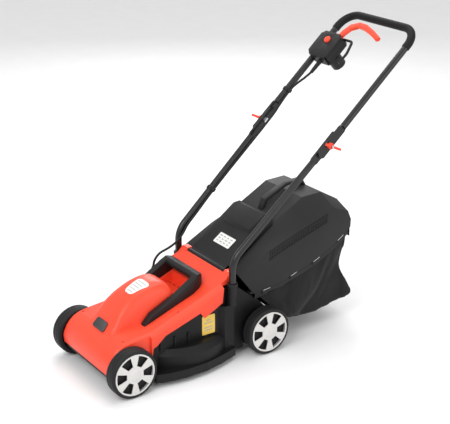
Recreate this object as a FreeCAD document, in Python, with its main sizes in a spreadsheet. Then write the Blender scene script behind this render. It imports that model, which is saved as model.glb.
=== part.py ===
import FreeCAD, Part
import math
import os

import Sketcher

# A small electric push lawn mower with a 320 mm cut, in millimetres.
# Front is -Y, up is +Z, and +X is the left hand of whoever pushes it.
# The origin is on the ground, in the middle of the whole machine.

V = FreeCAD.Vector
doc = FreeCAD.newDocument("push_mower")
sheet = doc.addObject("Spreadsheet::Sheet", "dims")

SIZES = [
    # wheels and axles
    ("wheel_radius", 70), ("wheel_width", 40), ("wheel_inner", 134), ("rim_wall", 9.6),
    ("hub_radius", 12), ("hub_length", 32), ("web_depth", 24), ("web_wall", 5),
    ("cap_radius", 60.3), ("cap_gap", 0.1), ("cap_wall", 3), ("cap_dome", 16),
    ("axle_radius", 5), ("running_gap", 0.05), ("collar_radius", 8), ("side_gap", 0.3),
    ("wheelbase", 445), ("rear_axle_y", -13), ("cut_travel", 30), ("slot_gap", 0.4),
    # deck
    ("deck_half", 125), ("deck_front", -488), ("wall", 3.5), ("skirt_bottom", 15),
    ("skirt_height", 25), ("skirt_half", 179), ("drum_radius", 170), ("drum_y", -243),
    ("drum_top", 90), ("drum_chamfer", 16), ("plate_z", 118), ("tray_bottom", 45),
    ("cup_radius", 43), ("cup_floor", 58), ("rear_end", 47), ("rear_foot", 32),
    # motor and blade
    ("motor_radius", 42), ("motor_height", 112), ("motor_wall", 2), ("shaft_radius", 5),
    ("bearing_radius", 11), ("bearing_width", 8), ("core_radius", 25), ("air_gap", 1),
    ("blade_length", 320), ("blade_width", 45), ("blade_wall", 3), ("blade_z", 30),
    ("hub_disc", 32), ("bolt_radius", 4),
    # cover
    ("cover_half", 139), ("cover_wall", 4), ("crease_half", 122), ("nose_half", 130),
    ("lip_z", 58), ("cover_front", -514), ("cover_rear", -98), ("hood_half", 64),
    ("hood_room", 30), ("well_half", 62), ("well_z", 190),
    # carry handle
    ("grab_outer", 88), ("grab_inner", 66),
    # push handle
    ("tube_radius", 10), ("tube_wall", 1.2), ("lower_x", 147.5), ("upper_x", 154.8),
    ("foot_x", 139), ("flat_wall", 7), ("flat_half", 12.5), ("socket_y", -120), ("socket_top", 238),
    ("socket_foot", 172), ("socket_wall", 3.5), ("corner_z", 304.5), ("lower_reach", 423.9),
    ("lower_bend", 70), ("handle_slope", 41.6), ("upper_reach", 426.6), ("upper_bend", 55),
    ("sleeve_wall", 2), ("sleeve_start", 362), ("flat_end", 52), ("flat_foot", 45),
    ("nut_radius", 9), ("nut_length", 10), ("wing_span", 24), ("wing_height", 24),
    # switch box
    ("box_left", -169), ("box_right", -80), ("box_low", 243), ("box_high", 335),
    ("box_under", 16), ("box_over", 22), ("box_wall", 3), ("button_radius", 11),
    ("button_travel", 4), ("lever_wall", 10), ("lever_low", 4), ("inlet_radius", 22),
    ("inlet_depth", 36), ("pin_radius", 2.4), ("pin_length", 19), ("pin_half", 9.5),
    # lead
    ("lead_radius", 3.5), ("lead_offset", 14.5), ("clip_wall", 2.5), ("clip_width", 10),
    # flap and catcher
    ("flap_half", 92), ("flap_slope", 35.4), ("flap_length", 210), ("flap_wall", 3),
    ("rod_radius", 3), ("rod_y", -112), ("rod_z", 254), ("barrel_radius", 7.6),
    ("lid_half", 140), ("crown_half", 88), ("lid_wall", 3), ("bag_half", 131),
    ("bag_wall", 2.5), ("wire_radius", 2), ("wire_half", 124),
    ("label_wall", 0.6), ("screw_radius", 3.5),
]
for row, (name, value) in enumerate(SIZES, start=1):
    sheet.set("A%d" % row, name)
    sheet.set("B%d" % row, str(value))
    sheet.setAlias("B%d" % row, name)
doc.recompute()


class Size:
    """A length of the sheet, or arithmetic on such lengths: its number and its expression."""

    def __init__(self, number, text):
        self.number = float(number)
        self.text = text

    def __add__(self, other):
        other = size(other)
        return Size(self.number + other.number, "(%s + %s)" % (self.text, other.text))

    def __radd__(self, other):
        return size(other) + self

    def __sub__(self, other):
        other = size(other)
        return Size(self.number - other.number, "(%s - %s)" % (self.text, other.text))

    def __rsub__(self, other):
        return size(other) - self

    def __mul__(self, other):
        other = size(other)
        return Size(self.number * other.number, "(%s * %s)" % (self.text, other.text))

    __rmul__ = __mul__

    def __truediv__(self, other):
        other = size(other)
        return Size(self.number / other.number, "(%s / %s)" % (self.text, other.text))

    def __neg__(self):
        return 0 - self

    def __float__(self):
        return self.number


def size(value):
    if isinstance(value, Size):
        return value
    return Size(value, "(%s)" % repr(float(value)))


def sine(angle):
    return Size(math.sin(math.radians(angle.number)), "sin(%s * 1 deg)" % angle.text)


def cosine(angle):
    return Size(math.cos(math.radians(angle.number)), "cos(%s * 1 deg)" % angle.text)


class Dims:
    """The sheet's cells by name."""

    def __getattr__(self, name):
        return Size(sheet.get(name), "dims." + name)


d = Dims()
NODES = []


def bind(thing, prop, value):
    value = size(value)
    thing.setExpression(prop, value.text)


def place(thing, x=0, y=0, z=0, axis=None, angle=0):
    """Puts a piece at x, y, z, turned about an axis, each bound to the sheet."""
    turn = FreeCAD.Rotation(V(*(axis or (0, 0, 1))), float(angle))
    thing.Placement = FreeCAD.Placement(V(float(x), float(y), float(z)), turn)
    for letter, value in (("x", x), ("y", y), ("z", z)):
        if isinstance(value, Size):
            bind(thing, "Placement.Base." + letter, value)
    if isinstance(angle, Size):
        bind(thing, "Placement.Rotation.Angle", angle)


# ---- bodies made of sketches ----

def new_body(label):
    body = doc.addObject("PartDesign::Body", label)
    body.Label = label
    NODES.append(body)
    return body


def origin_feature(body, role):
    return [f for f in body.Origin.OriginFeatures if f.Role == role][0]


def new_sketch(body, role, offset=0):
    """A sketch on one of the body's own origin planes, moved along the plane's normal."""
    sketch = body.newObject("Sketcher::SketchObject", body.Label + "_sketch")
    sketch.AttachmentSupport = [(origin_feature(body, role), "")]
    sketch.MapMode = "FlatFace"
    sketch.AttachmentOffset = FreeCAD.Placement(V(0, 0, float(offset)), FreeCAD.Rotation())
    if isinstance(offset, Size):
        bind(sketch, "AttachmentOffset.Base.z", offset)
    return sketch


def fix_point(sketch, geometry, end, x, y):
    """Holds one sketch point at x, y from the sketch's origin."""
    for kind, value in (("DistanceX", size(x)), ("DistanceY", size(y))):
        number = sketch.addConstraint(
            Sketcher.Constraint(kind, -1, 1, geometry, end, value.number))
        if "dims." in value.text:
            sketch.setExpression("Constraints[%d]" % number, value.text)


def outline(sketch, points):
    """A closed outline of straight edges."""
    lines = []
    for (ax, ay), (bx, by) in zip(points, points[1:] + points[:1]):
        edge = Part.LineSegment(V(float(ax), float(ay), 0), V(float(bx), float(by), 0))
        lines.append(sketch.addGeometry(edge, False))
    for line, follower in zip(lines, lines[1:] + lines[:1]):
        sketch.addConstraint(Sketcher.Constraint("Coincident", line, 2, follower, 1))
    for line, (x, y) in zip(lines, points):
        fix_point(sketch, line, 1, x, y)


def disc(sketch, x, y, radius):
    """A circle held by its centre and radius."""
    circle = Part.Circle(V(float(x), float(y), 0), V(0, 0, 1), float(radius))
    number = sketch.addGeometry(circle, False)
    fix_point(sketch, number, 3, x, y)
    held = sketch.addConstraint(Sketcher.Constraint("Radius", number, float(radius)))
    if "dims." in size(radius).text:
        sketch.setExpression("Constraints[%d]" % held, size(radius).text)


def rectangle(x0, y0, x1, y1):
    return [(x0, y0), (x1, y0), (x1, y1), (x0, y1)]


def route(sketch, points, radii):
    """An open path of straight runs joined by tangent arcs, one radius per inner point."""
    spots = [V(float(x), float(y), 0) for x, y in points]
    tangents = []
    for before, spot, after, radius in zip(spots, spots[1:], spots[2:], radii):
        back = (before - spot).normalize()
        ahead = (after - spot).normalize()
        half = back.getAngle(ahead) / 2
        reach = float(radius) / math.tan(half)
        centre = spot + (back + ahead).normalize() * (float(radius) / math.sin(half))
        tangents.append((spot + back * reach, spot + ahead * reach, centre))
    starts = [spots[0]] + [t[1] for t in tangents]
    ends = [t[0] for t in tangents] + [spots[-1]]
    lines = [sketch.addGeometry(Part.LineSegment(a, b), False) for a, b in zip(starts, ends)]
    for index, (radius, (enter, leave, centre)) in enumerate(zip(radii, tangents)):
        first = enter - centre
        second = leave - centre
        turn = first.cross(second).z
        a0 = math.atan2(first.y, first.x)
        a1 = math.atan2(second.y, second.x)
        circle = Part.Circle(centre, V(0, 0, 1), float(radius))
        arc = Part.ArcOfCircle(circle, a0, a1) if turn > 0 else Part.ArcOfCircle(circle, a1, a0)
        number = sketch.addGeometry(arc, False)
        near, far = (1, 2) if turn > 0 else (2, 1)
        sketch.addConstraint(Sketcher.Constraint("Tangent", lines[index], 2, number, near))
        sketch.addConstraint(Sketcher.Constraint("Tangent", number, far, lines[index + 1], 1))
        held = sketch.addConstraint(Sketcher.Constraint("Radius", number, float(radius)))
        sketch.setExpression("Constraints[%d]" % held, size(radius).text)
        corner = sketch.addGeometry(Part.Point(spots[index + 1]), True)
        fix_point(sketch, corner, 1, *points[index + 1])
        for line in (lines[index], lines[index + 1]):
            sketch.addConstraint(Sketcher.Constraint("PointOnObject", corner, 1, line))
    fix_point(sketch, lines[0], 1, *points[0])
    fix_point(sketch, lines[-1], 2, *points[-1])
    order = []
    for index in range(len(lines)):
        order.append("Edge%d" % (index + 1))
    return order


def feature(body, kind, sketch=None):
    made = body.newObject("PartDesign::" + kind, body.Label + "_" + kind.lower())
    if sketch is not None:
        made.Profile = sketch
    return made


def pad(body, sketch, length, both=False):
    made = feature(body, "Pad", sketch)
    if both:
        made.SideType = "Symmetric"
    bind(made, "Length", length)
    return made


def pocket(body, sketch, length=None, both=False, reverse=False):
    """Cuts a sketch away; with no length it goes through everything, both ways."""
    made = feature(body, "Pocket", sketch)
    if length is None:
        made.SideType = "Symmetric"
        made.Length = 2000
    else:
        if both:
            made.SideType = "Symmetric"
        made.Reversed = reverse
        bind(made, "Length", length)
    return made


def turned(body, sketch, axis):
    made = feature(body, "Revolution", sketch)
    made.ReferenceAxis = (sketch, [axis])
    made.Angle = 360
    return made


def polar(body, source, role, count):
    made = feature(body, "PolarPattern")
    made.Originals = [source]
    made.Axis = (origin_feature(body, role), [""])
    made.Angle = 360
    made.Occurrences = count
    body.Tip = made
    return made


def pipe(body, profile, spine, edges):
    made = feature(body, "AdditivePipe", profile)
    made.Spine = (spine, edges)
    return made


def loft(body, sketches):
    made = feature(body, "AdditiveLoft", sketches[0])
    made.Sections = sketches[1:]
    made.Ruled = True
    return made


def chamfer(body, base, edges, amount):
    made = body.newObject("PartDesign::Chamfer", body.Label + "_chamfer")
    made.Base = (base, edges)
    bind(made, "Size", amount)
    return made


def edges_at(shape, test):
    """The names of the edges whose middle point passes a test."""
    names = []
    for number, edge in enumerate(shape.Edges, start=1):
        middle = edge.CenterOfMass
        if test(middle, edge):
            names.append("Edge%d" % number)
    return names


# ---- pieces made of primitives ----

TURNS = {"x": ((0, 1, 0), 90), "y": ((1, 0, 0), -90), "z": ((0, 0, 1), 0)}


def cylinder(name, along, radius, height, x=0, y=0, z=0):
    made = doc.addObject("Part::Cylinder", name)
    bind(made, "Radius", radius)
    bind(made, "Height", height)
    axis, angle = TURNS[along]
    place(made, x, y, z, axis, angle)
    return made


def block(name, wide, deep, tall, x=0, y=0, z=0):
    """A box with its low corner at x, y, z."""
    made = doc.addObject("Part::Box", name)
    bind(made, "Length", wide)
    bind(made, "Width", deep)
    bind(made, "Height", tall)
    place(made, x, y, z)
    return made


def cut(name, base, tool):
    made = doc.addObject("Part::Cut", name)
    made.Base = base
    made.Tool = tool
    return made


def fuse(name, *pieces):
    made = doc.addObject("Part::MultiFuse", name)
    made.Shapes = list(pieces)
    return made


def group(name, *pieces):
    made = doc.addObject("Part::Compound", name)
    made.Links = list(pieces)
    return made


def ring(name, along, outer, inner, height, x=0, y=0, z=0):
    return cut(name, cylinder(name + "_outer", along, outer, height, x, y, z),
               cylinder(name + "_bore", along, inner, height, x, y, z))


def node(thing, label):
    thing.Label = label
    NODES.append(thing)
    return thing


def on_handle(thing, x=0, y=0, w=0):
    """Places a piece that is drawn in the handle's own frame.

    That frame has its origin on the fold axis, x across, y up the tubes and w square to them.
    """
    low = pivot_y + y * cosine(d.handle_slope) - w * sine(d.handle_slope)
    high = pivot_z + y * sine(d.handle_slope) + w * cosine(d.handle_slope)
    place(thing, x, low, high, (1, 0, 0), d.handle_slope)
    return thing


pivot_y = d.socket_y + d.lower_reach * cosine(d.handle_slope)
pivot_z = d.corner_z + d.lower_reach * sine(d.handle_slope)
axle_z = d.wheel_radius
front_axle_y = d.rear_axle_y - d.wheelbase

# ---- wheels, hubcaps and axles ----

rim_inner = d.cap_radius + d.cap_gap
cap_face = d.wheel_width


def wheel(label, side, axle_y):
    body = new_body(label)
    sketch = new_sketch(body, "XY_Plane")
    bore = d.axle_radius + d.running_gap
    tread = d.wheel_radius
    back = d.web_depth
    front = d.web_depth + d.web_wall
    wide = d.wheel_width
    rim = d.wheel_radius - d.rim_wall - 4
    points = [
        (0, bore), (d.hub_length, bore), (d.hub_length, d.hub_radius),
        (front, d.hub_radius), (front, rim_inner), (wide, rim_inner),
        (wide, tread - 3), (wide - 3, tread), (3, tread), (0, tread - 3),
        (0, rim), (back, rim), (back, d.hub_radius), (0, d.hub_radius)]
    outline(sketch, [(side * size(x), y) for x, y in points])
    turned(body, sketch, "H_Axis")
    place(body, side * d.wheel_inner, axle_y, axle_z)
    return body


def hubcap(label, side, axle_y):
    body = new_body(label)
    sketch = new_sketch(body, "XY_Plane")
    face = cap_face
    back = face - d.cap_wall
    skirt = d.web_depth + d.web_wall + 0.5
    cavity = face - 0.5
    points = [
        (cavity, 0), (cavity, d.cap_dome - 3), (back, d.cap_dome - 3),
        (back, d.cap_radius - 3), (skirt, d.cap_radius - 3), (skirt, d.cap_radius),
        (face - 1, d.cap_radius), (face, d.cap_radius - 1), (face, d.cap_dome),
        (face + 2, d.cap_dome - 3), (face + 2.5, 0)]
    outline(sketch, [(side * size(x), y) for x, y in points])
    turned(body, sketch, "H_Axis")
    window = new_sketch(body, "YZ_Plane")
    inner = d.cap_dome + 9
    outer = d.cap_radius - 6
    outline(window, [(inner, -8), (outer - 1, -16.5), (outer + 0.7, -8), (outer + 1, 0),
                     (outer + 0.7, 8), (outer - 1, 16.5), (inner, 8)])
    hole = pocket(body, window)
    polar(body, hole, "X_Axis", 6)
    place(body, side * d.wheel_inner, axle_y, axle_z)
    return body


for side, hand in ((1, "left"), (-1, "right")):
    wheel("wheel_front_" + hand, side, front_axle_y)
    wheel("wheel_rear_" + hand, side, d.rear_axle_y)
    hubcap("hubcap_front_" + hand, side, front_axle_y)
    hubcap("hubcap_rear_" + hand, side, d.rear_axle_y)

axle_half = d.wheel_inner + d.hub_length + 6
collar_out = d.wheel_inner - d.side_gap


def axle(label, axle_y):
    """A steel axle with a pressed collar inside each wheel."""
    body = new_body(label)
    sketch = new_sketch(body, "XY_Plane")
    half = [(collar_out - 3, d.axle_radius), (collar_out - 3, d.collar_radius),
            (collar_out, d.collar_radius), (collar_out, d.axle_radius),
            (axle_half, d.axle_radius), (axle_half, 0)]
    mirrored = [(-x, y) for x, y in reversed(half)]
    outline(sketch, mirrored + half)
    turned(body, sketch, "H_Axis")
    place(body, 0, axle_y, axle_z)


def axle_nuts(label, axle_y):
    """A push-on cap on each end of an axle, under the hubcaps."""
    start = d.wheel_inner + d.hub_length + d.side_gap
    rings = []
    for side in (1, -1):
        x = start if side > 0 else -(start + 4)
        rings.append(ring(label + "_%d" % (side + 1), "x", d.axle_radius + 5,
                          d.axle_radius, 4, x, axle_y, axle_z))
    node(group(label, *rings), label)


axle("front_axle", front_axle_y)
axle("rear_axle", d.rear_axle_y)
axle_nuts("front_axle_nuts", front_axle_y)
axle_nuts("rear_axle_nuts", d.rear_axle_y)

# ---- deck ----

deck = new_body("deck_shell")
skirt_front = -384
skirt_rear = -114


def lens(sketch, inset):
    """The skirt's outline: a long arc on each side and a straight end front and rear."""
    wide = d.skirt_half - inset
    points = [
        (158 - inset, skirt_front + inset), (172 - inset, -345), (wide, -291),
        (wide - 2, -228), (167 - inset, -178), (156 - inset, -141),
        (147 - inset, skirt_rear - inset)]
    mirrored = [(-size(x), y) for x, y in reversed(points)]
    outline(sketch, points + mirrored)


sketch = new_sketch(deck, "XY_Plane", d.skirt_bottom)
lens(sketch, size(0))
pad(deck, sketch, d.skirt_height)
sketch = new_sketch(deck, "XY_Plane", d.skirt_bottom)
lens(sketch, d.wall)
pocket(deck, sketch, d.skirt_height - d.wall, reverse=True)

# The drum that the blade turns in.
sketch = new_sketch(deck, "XY_Plane", d.skirt_bottom)
disc(sketch, 0, d.drum_y, d.drum_radius)
drum = pad(deck, sketch, d.drum_top - d.skirt_bottom)
doc.recompute()
rims = edges_at(drum.Shape, lambda m, e: abs(m.z - d.drum_top.number) < 0.01
                and e.Length > 3 * d.drum_radius.number)
chamfer(deck, drum, rims, d.drum_chamfer)

# The tray ahead of and beside the drum, with the strip under the cover's lip.
tray_rear = -150
sketch = new_sketch(deck, "XY_Plane", d.tray_bottom)
outline(sketch, rectangle(-d.deck_half, d.deck_front, d.deck_half, tray_rear))
outline(sketch, rectangle(-d.deck_half + d.wall, d.deck_front + d.wall,
                          d.deck_half - d.wall, tray_rear - d.wall))
pad(deck, sketch, d.plate_z - d.tray_bottom)
sketch = new_sketch(deck, "XY_Plane", d.plate_z - d.wall)
outline(sketch, rectangle(-d.deck_half, d.deck_front, d.deck_half, tray_rear))
pad(deck, sketch, d.wall)
sketch = new_sketch(deck, "XY_Plane", d.tray_bottom)
outline(sketch, rectangle(-(d.nose_half - 2), -506, d.nose_half - 2, d.deck_front + 1))
pad(deck, sketch, d.lip_z - 1.5 - d.tray_bottom)

# The rear box: the side plates and the channel that leads cuttings to the catcher.
box_points = [(tray_rear, d.skirt_bottom + 5), (tray_rear, 190), (-147, 214), (-112, 230), (-24, 157),
              (d.rear_end, 84), (d.rear_end, d.rear_foot), (-73, d.rear_foot),
              (-73, d.skirt_bottom + 5)]
sketch = new_sketch(deck, "YZ_Plane")
outline(sketch, box_points)
pad(deck, sketch, 2 * d.deck_half, both=True)
sketch = new_sketch(deck, "YZ_Plane")
outline(sketch, [(-146.5, 46), (-146.5, 188), (-143.5, 211.5), (-112, 226), (-60, 320), (120, 200),
                 (120, 92), (-24, 88), (-72, 46)])
pocket(deck, sketch, 2 * (d.deck_half - d.wall), both=True)
sketch = new_sketch(deck, "YZ_Plane")
outline(sketch, [(-66, 10), (-66, 44), (-20, 84), (120, 88), (120, 10)])
pocket(deck, sketch, 2 * (d.deck_half - d.wall), both=True)

# The side plates that stand inside the cover, and the shoulders under the handle's sockets.
for side in (1, -1):
    sketch = new_sketch(deck, "YZ_Plane", side * (d.deck_half - d.wall / 2))
    outline(sketch, [(-384, 80), (-384, 126), (-340, 146), (-290, 164), (-226, 177),
                     (-149, 189), (-149, 80)])
    pad(deck, sketch, d.wall, both=True)
    sketch = new_sketch(deck, "XY_Plane", d.skirt_bottom + d.skirt_height - 2)
    outline(sketch, [(side * (d.deck_half - 1), -160), (side * (d.deck_half + 15), -146),
                     (side * (d.deck_half + 15), skirt_rear),
                     (side * (d.deck_half - 1), skirt_rear)])
    pad(deck, sketch, d.socket_foot - d.skirt_bottom - d.skirt_height + 2)

# The plates that carry the front axle.
for side in (1, -1):
    sketch = new_sketch(deck, "XY_Plane", axle_z - d.cut_travel - 12)
    outline(sketch, rectangle(side * (d.deck_half - 7), front_axle_y - 16,
                              side * d.deck_half, front_axle_y + 16))
    pad(deck, sketch, 60)

# The blade's chamber.
sketch = new_sketch(deck, "XY_Plane", d.skirt_bottom)
disc(sketch, 0, d.drum_y, d.drum_radius - d.wall)
pocket(deck, sketch, d.drum_top - d.drum_chamfer - d.skirt_bottom, reverse=True)
sketch = new_sketch(deck, "XY_Plane", d.drum_top - d.drum_chamfer)
disc(sketch, 0, d.drum_y, d.drum_radius - d.drum_chamfer - d.wall)
pocket(deck, sketch, d.drum_chamfer - d.wall, reverse=True)

# The cup that holds the motor.
sketch = new_sketch(deck, "XY_Plane", d.cup_floor)
disc(sketch, 0, d.drum_y, d.cup_radius + d.wall)
pad(deck, sketch, d.plate_z - d.cup_floor)
sketch = new_sketch(deck, "XY_Plane", d.cup_floor + 7)
disc(sketch, 0, d.drum_y, d.cup_radius)
pocket(deck, sketch, 100, reverse=True)
sketch = new_sketch(deck, "XY_Plane", d.cup_floor - 2)
disc(sketch, 0, d.drum_y, d.bearing_radius + 3)
pocket(deck, sketch, 20, reverse=True)

# The slots that the axles move up and down in.
for y in (front_axle_y, d.rear_axle_y):
    sketch = new_sketch(deck, "YZ_Plane")
    reach = d.axle_radius + d.slot_gap
    outline(sketch, rectangle(y - reach, axle_z - d.cut_travel - reach, y + reach,
                              axle_z + reach))
    pocket(deck, sketch)

# Upright ribs on the deck's side plates.
for side in (1, -1):
    for y in (-352, -306, -262):
        inner = side * (d.deck_half - 1)
        outer = side * (d.deck_half + 4)
        sketch = new_sketch(deck, "XY_Plane", d.drum_top - 1)
        outline(sketch, rectangle(inner, y, outer, y + 5))
        pad(deck, sketch, 32)

# ---- motor ----


def across(label, radius, low, high, bore=None):
    """A turned piece on the motor's axis, between two heights."""
    if bore is None:
        return node(cylinder(label, "z", radius, high - low, 0, d.drum_y, low), label)
    return node(ring(label, "z", radius, bore, high - low, 0, d.drum_y, low), label)


can_low = d.cup_floor + 4
can_high = can_low + d.motor_height
housing = new_body("motor_housing")
sketch = new_sketch(housing, "XZ_Plane")
can_in = d.motor_radius - d.motor_wall
seat = d.bearing_radius
nose = d.bearing_width + 3
outline(sketch, [
    (d.shaft_radius + 2, 0), (seat + 2, 0), (seat + 2, 3), (d.motor_radius, 3),
    (d.motor_radius, d.motor_height), (d.shaft_radius + 2, d.motor_height),
    (d.shaft_radius + 2, d.motor_height - 3), (seat, d.motor_height - 3),
    (seat, d.motor_height - nose), (seat + 2, d.motor_height - nose),
    (seat + 2, d.motor_height - 3), (can_in, d.motor_height - 3),
    (can_in, 6), (seat + 2, 6), (seat + 2, nose), (seat, nose), (seat, 3),
    (d.shaft_radius + 2, 3)])
turned(housing, sketch, "V_Axis")
place(housing, 0, d.drum_y, can_low)

shaft_bore = d.shaft_radius + d.running_gap
bearings = [ring("bearing_%d" % i, "z", seat, shaft_bore, d.bearing_width, 0, d.drum_y, low)
            for i, low in enumerate((can_low + 3, can_high - 3 - d.bearing_width))]
node(group("motor_bearings", *bearings), "motor_bearings")
across("stator", can_in, can_low + 30, can_low + 78, d.core_radius + d.air_gap)
shaft_low = d.blade_z + d.blade_wall
across("motor_shaft", d.shaft_radius, shaft_low, can_high - 2)
core = ring("rotor_stack", "z", d.core_radius, d.shaft_radius, 44, 0, d.drum_y, can_low + 32)
segments = ring("commutator", "z", d.core_radius - 9, d.shaft_radius, 20, 0, d.drum_y,
                can_low + 76)
node(fuse("rotor_core", core, segments), "rotor_core")
brushes = []
for side in (1, -1):
    reach = d.core_radius - 9 + 0.3
    x = reach if side > 0 else -(reach + 14)
    brushes.append(block("brush_%d" % (side + 1), 14, 8, 8, x, d.drum_y - 4, can_low + 84))
node(group("motor_brushes", *brushes), "motor_brushes")

# A fan inside the can, under the core.
fan = new_body("motor_fan")
sketch = new_sketch(fan, "XY_Plane")
disc(sketch, 0, 0, d.core_radius + 8)
disc(sketch, 0, 0, d.shaft_radius)
pad(fan, sketch, 2)
sketch = new_sketch(fan, "XY_Plane", 1)
outline(sketch, rectangle(d.shaft_radius + 5, -1, d.core_radius + 8, 1))
vane = pad(fan, sketch, 11)
polar(fan, vane, "Z_Axis", 8)
place(fan, 0, d.drum_y, can_low + 15)

# The blade's flange: a hub on the shaft with a finned cooling disc.
flange = new_body("blade_holder")
sketch = new_sketch(flange, "XZ_Plane")
outline(sketch, [(d.shaft_radius, 0), (d.hub_disc, 0), (d.hub_disc, 4), (14, 6), (14, 22),
                 (d.shaft_radius, 22)])
turned(flange, sketch, "V_Axis")
sketch = new_sketch(flange, "XY_Plane", 3)
outline(sketch, rectangle(12, -1.5, d.hub_disc, 1.5))
fin = pad(flange, sketch, 9)
polar(flange, fin, "Z_Axis", 6)
place(flange, 0, d.drum_y, shaft_low)

# The blade: a steel bar with lifted rear edges at both tips.
blade = new_body("blade")
half = d.blade_length / 2
sketch = new_sketch(blade, "XY_Plane")
wide = d.blade_width / 2
outline(sketch, [(-half, -wide), (half - 12, -wide), (half, -wide + 12), (half, wide),
                 (-half + 12, wide), (-half, wide - 12)])
disc(sketch, 0, 0, d.bolt_radius + d.running_gap * 2)
pad(blade, sketch, d.blade_wall)
for side in (1, -1):
    sketch = new_sketch(blade, "YZ_Plane", side * (half - 30))
    low = side * (wide - 6)
    high = side * wide
    outline(sketch, [(low, 1), (high + side * 1.0, 11), (high + side * 1.0, 13.5),
                     (low - side * 1.0, 2.9)])
    pad(blade, sketch, 44, both=True)
place(blade, 0, d.drum_y, d.blade_z)

# The bolt and washer that clamp the blade to its holder.
head = cylinder("bolt_head", "z", 6.5, 5, 0, d.drum_y, d.blade_z - 8)
shank = cylinder("bolt_shank", "z", d.bolt_radius, 3 + d.blade_wall, 0, d.drum_y, d.blade_z - 3)
washer = ring("washer", "z", 12, d.bolt_radius, 3, 0, d.drum_y, d.blade_z - 3)
node(group("blade_fasteners", fuse("blade_bolt", head, shank), washer), "blade_fasteners")

# ---- cover ----

cover = new_body("top_cover")
nose = d.cover_front
rear = d.cover_rear
rise = [(nose + 2, d.lip_z), (nose, 80), (-511, 96), (-504, 111), (-494, 124), (-480, 135.5),
        (-462, 143), (-430, 148), (-378, 153), (-288, 185), (-215, 211), (-132, 246),
        (-116, 262), (rear - 2, 262)]
under = [(rear, 232), (-147.6, 229), (-152.5, 186), (-212, 155), (-226, 174), (-340, 138),
         (-366, 116), (-379, 110), (-384, 80), (-400, d.lip_z)]


def cover_section(x, drop):
    """The cover's side view at one x, its top lowered by drop."""
    sketch = new_sketch(cover, "YZ_Plane", x)
    top = []
    for index, (y, z) in enumerate(rise):
        lower = 0 if index < 2 else drop
        top.append((y, size(z) - lower))
    outline(sketch, top + under)
    return sketch


loft(cover, [cover_section(-d.cover_half, 11), cover_section(-d.crease_half, 0),
             cover_section(d.crease_half, 0), cover_section(d.cover_half, 11)])

# The hood over the motor: its ridge line, and how much of that height stands at each x.
ridge = [(-476, 136), (-450, 165), (-440, 180), (-430, 193), (-420, 204), (-408, 213.5),
         (-396, 222), (-382, 229.5), (-367, 236.5), (-351, 242.5), (-334, 247), (-317, 249.5),
         (-300, 250), (-285, 247), (-272, 239.5), (-265, 227), (-262, 205)]
shoulder = [(0.0, 1.0), (0.3, 0.995), (0.5, 0.975), (0.67, 0.91), (0.8, 0.78), (0.89, 0.58),
            (0.955, 0.33), (1.0, 0.0)]


def cover_line(y):
    """The height of the cover's top at y."""
    for (y0, z0), (y1, z1) in zip(rise[5:], rise[6:]):
        if y0 <= y <= y1:
            return z0 + (z1 - z0) * (y - y0) / (y1 - y0)


def hood_section(x, part):
    """The hood's side view at x, where only a part of its full height stands."""
    points = [(-476, 100)]
    for y, z in ridge:
        foot = cover_line(y) - 1.5
        points.append((y, foot + part * (z - foot)))
    sketch = new_sketch(cover, "YZ_Plane", x)
    outline(sketch, points + [(-262, 100)])
    return sketch


spots = [(-size(d.hood_half) * share, part) for share, part in reversed(shoulder[1:])]
spots += [(d.hood_half * share, part) for share, part in shoulder]
loft(cover, [hood_section(x, part) for x, part in spots])

# Beside the front wheels and behind the side plates the cover is narrower.
for side in (1, -1):
    sketch = new_sketch(cover, "XY_Plane")
    outline(sketch, rectangle(side * d.nose_half, nose - 10, side * 200, -384))
    pocket(cover, sketch)
    sketch = new_sketch(cover, "XY_Plane")
    outline(sketch, rectangle(side * (d.deck_half - 2), -148, side * 200, -50))
    pocket(cover, sketch)

# The room inside: over the deck, under the hood, and in the wider middle.
room = [(nose + 7, 20), (nose + 5, 79), (-506, 95), (-499, 108), (-490, 119), (-477, 130),
        (-460, 137.5), (-430, 143), (-378, 148), (-290, 179), (-272, 185), (-180, 185),
        (-150.5, 198), (-150.5, 20)]
sketch = new_sketch(cover, "YZ_Plane")
outline(sketch, room)
pocket(cover, sketch, 2 * (d.nose_half - d.cover_wall), both=True)
sketch = new_sketch(cover, "YZ_Plane")
outline(sketch, [(-153, 20), (-153, 198), (-150, 229), (-135, 240), (rear - 6, 240),
                 (rear - 6, 20)])
pocket(cover, sketch, 2 * (d.deck_half - 6), both=True)
sketch = new_sketch(cover, "YZ_Plane")
outline(sketch, [(-379, 20), (-379, 135), (-290, 166), (-272, 172), (-180, 175), (-155, 180),
                 (-155, 20)])
pocket(cover, sketch, 2 * (d.cover_half - d.cover_wall), both=True)
sketch = new_sketch(cover, "YZ_Plane")
outline(sketch, [(-440, 100), (-440, 160), (-415, 194), (-392, 215), (-365, 230), (-334, 240.5),
                 (-302, 243.5), (-278, 233), (-270, 200), (-270, 100)])
pocket(cover, sketch, 2 * d.hood_room, both=True)

# The slots that the front axle passes through.
reach = d.axle_radius + d.slot_gap
sketch = new_sketch(cover, "YZ_Plane")
outline(sketch, rectangle(front_axle_y - reach, axle_z - d.cut_travel - reach,
                          front_axle_y + reach, axle_z + reach))
pocket(cover, sketch)

# The well behind the hood, with a row of air slots in its rear wall.
sketch = new_sketch(cover, "XY_Plane", d.well_z)
outline(sketch, rectangle(-d.well_half, -262, d.well_half, -190))
pocket(cover, sketch, 100, reverse=True)
for i in range(6):
    x = -61 + 22 * i
    sketch = new_sketch(cover, "XY_Plane", d.well_z - 20)
    outline(sketch, rectangle(x, -206, x + 12, -200))
    pocket(cover, sketch, 30, reverse=True)

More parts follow.
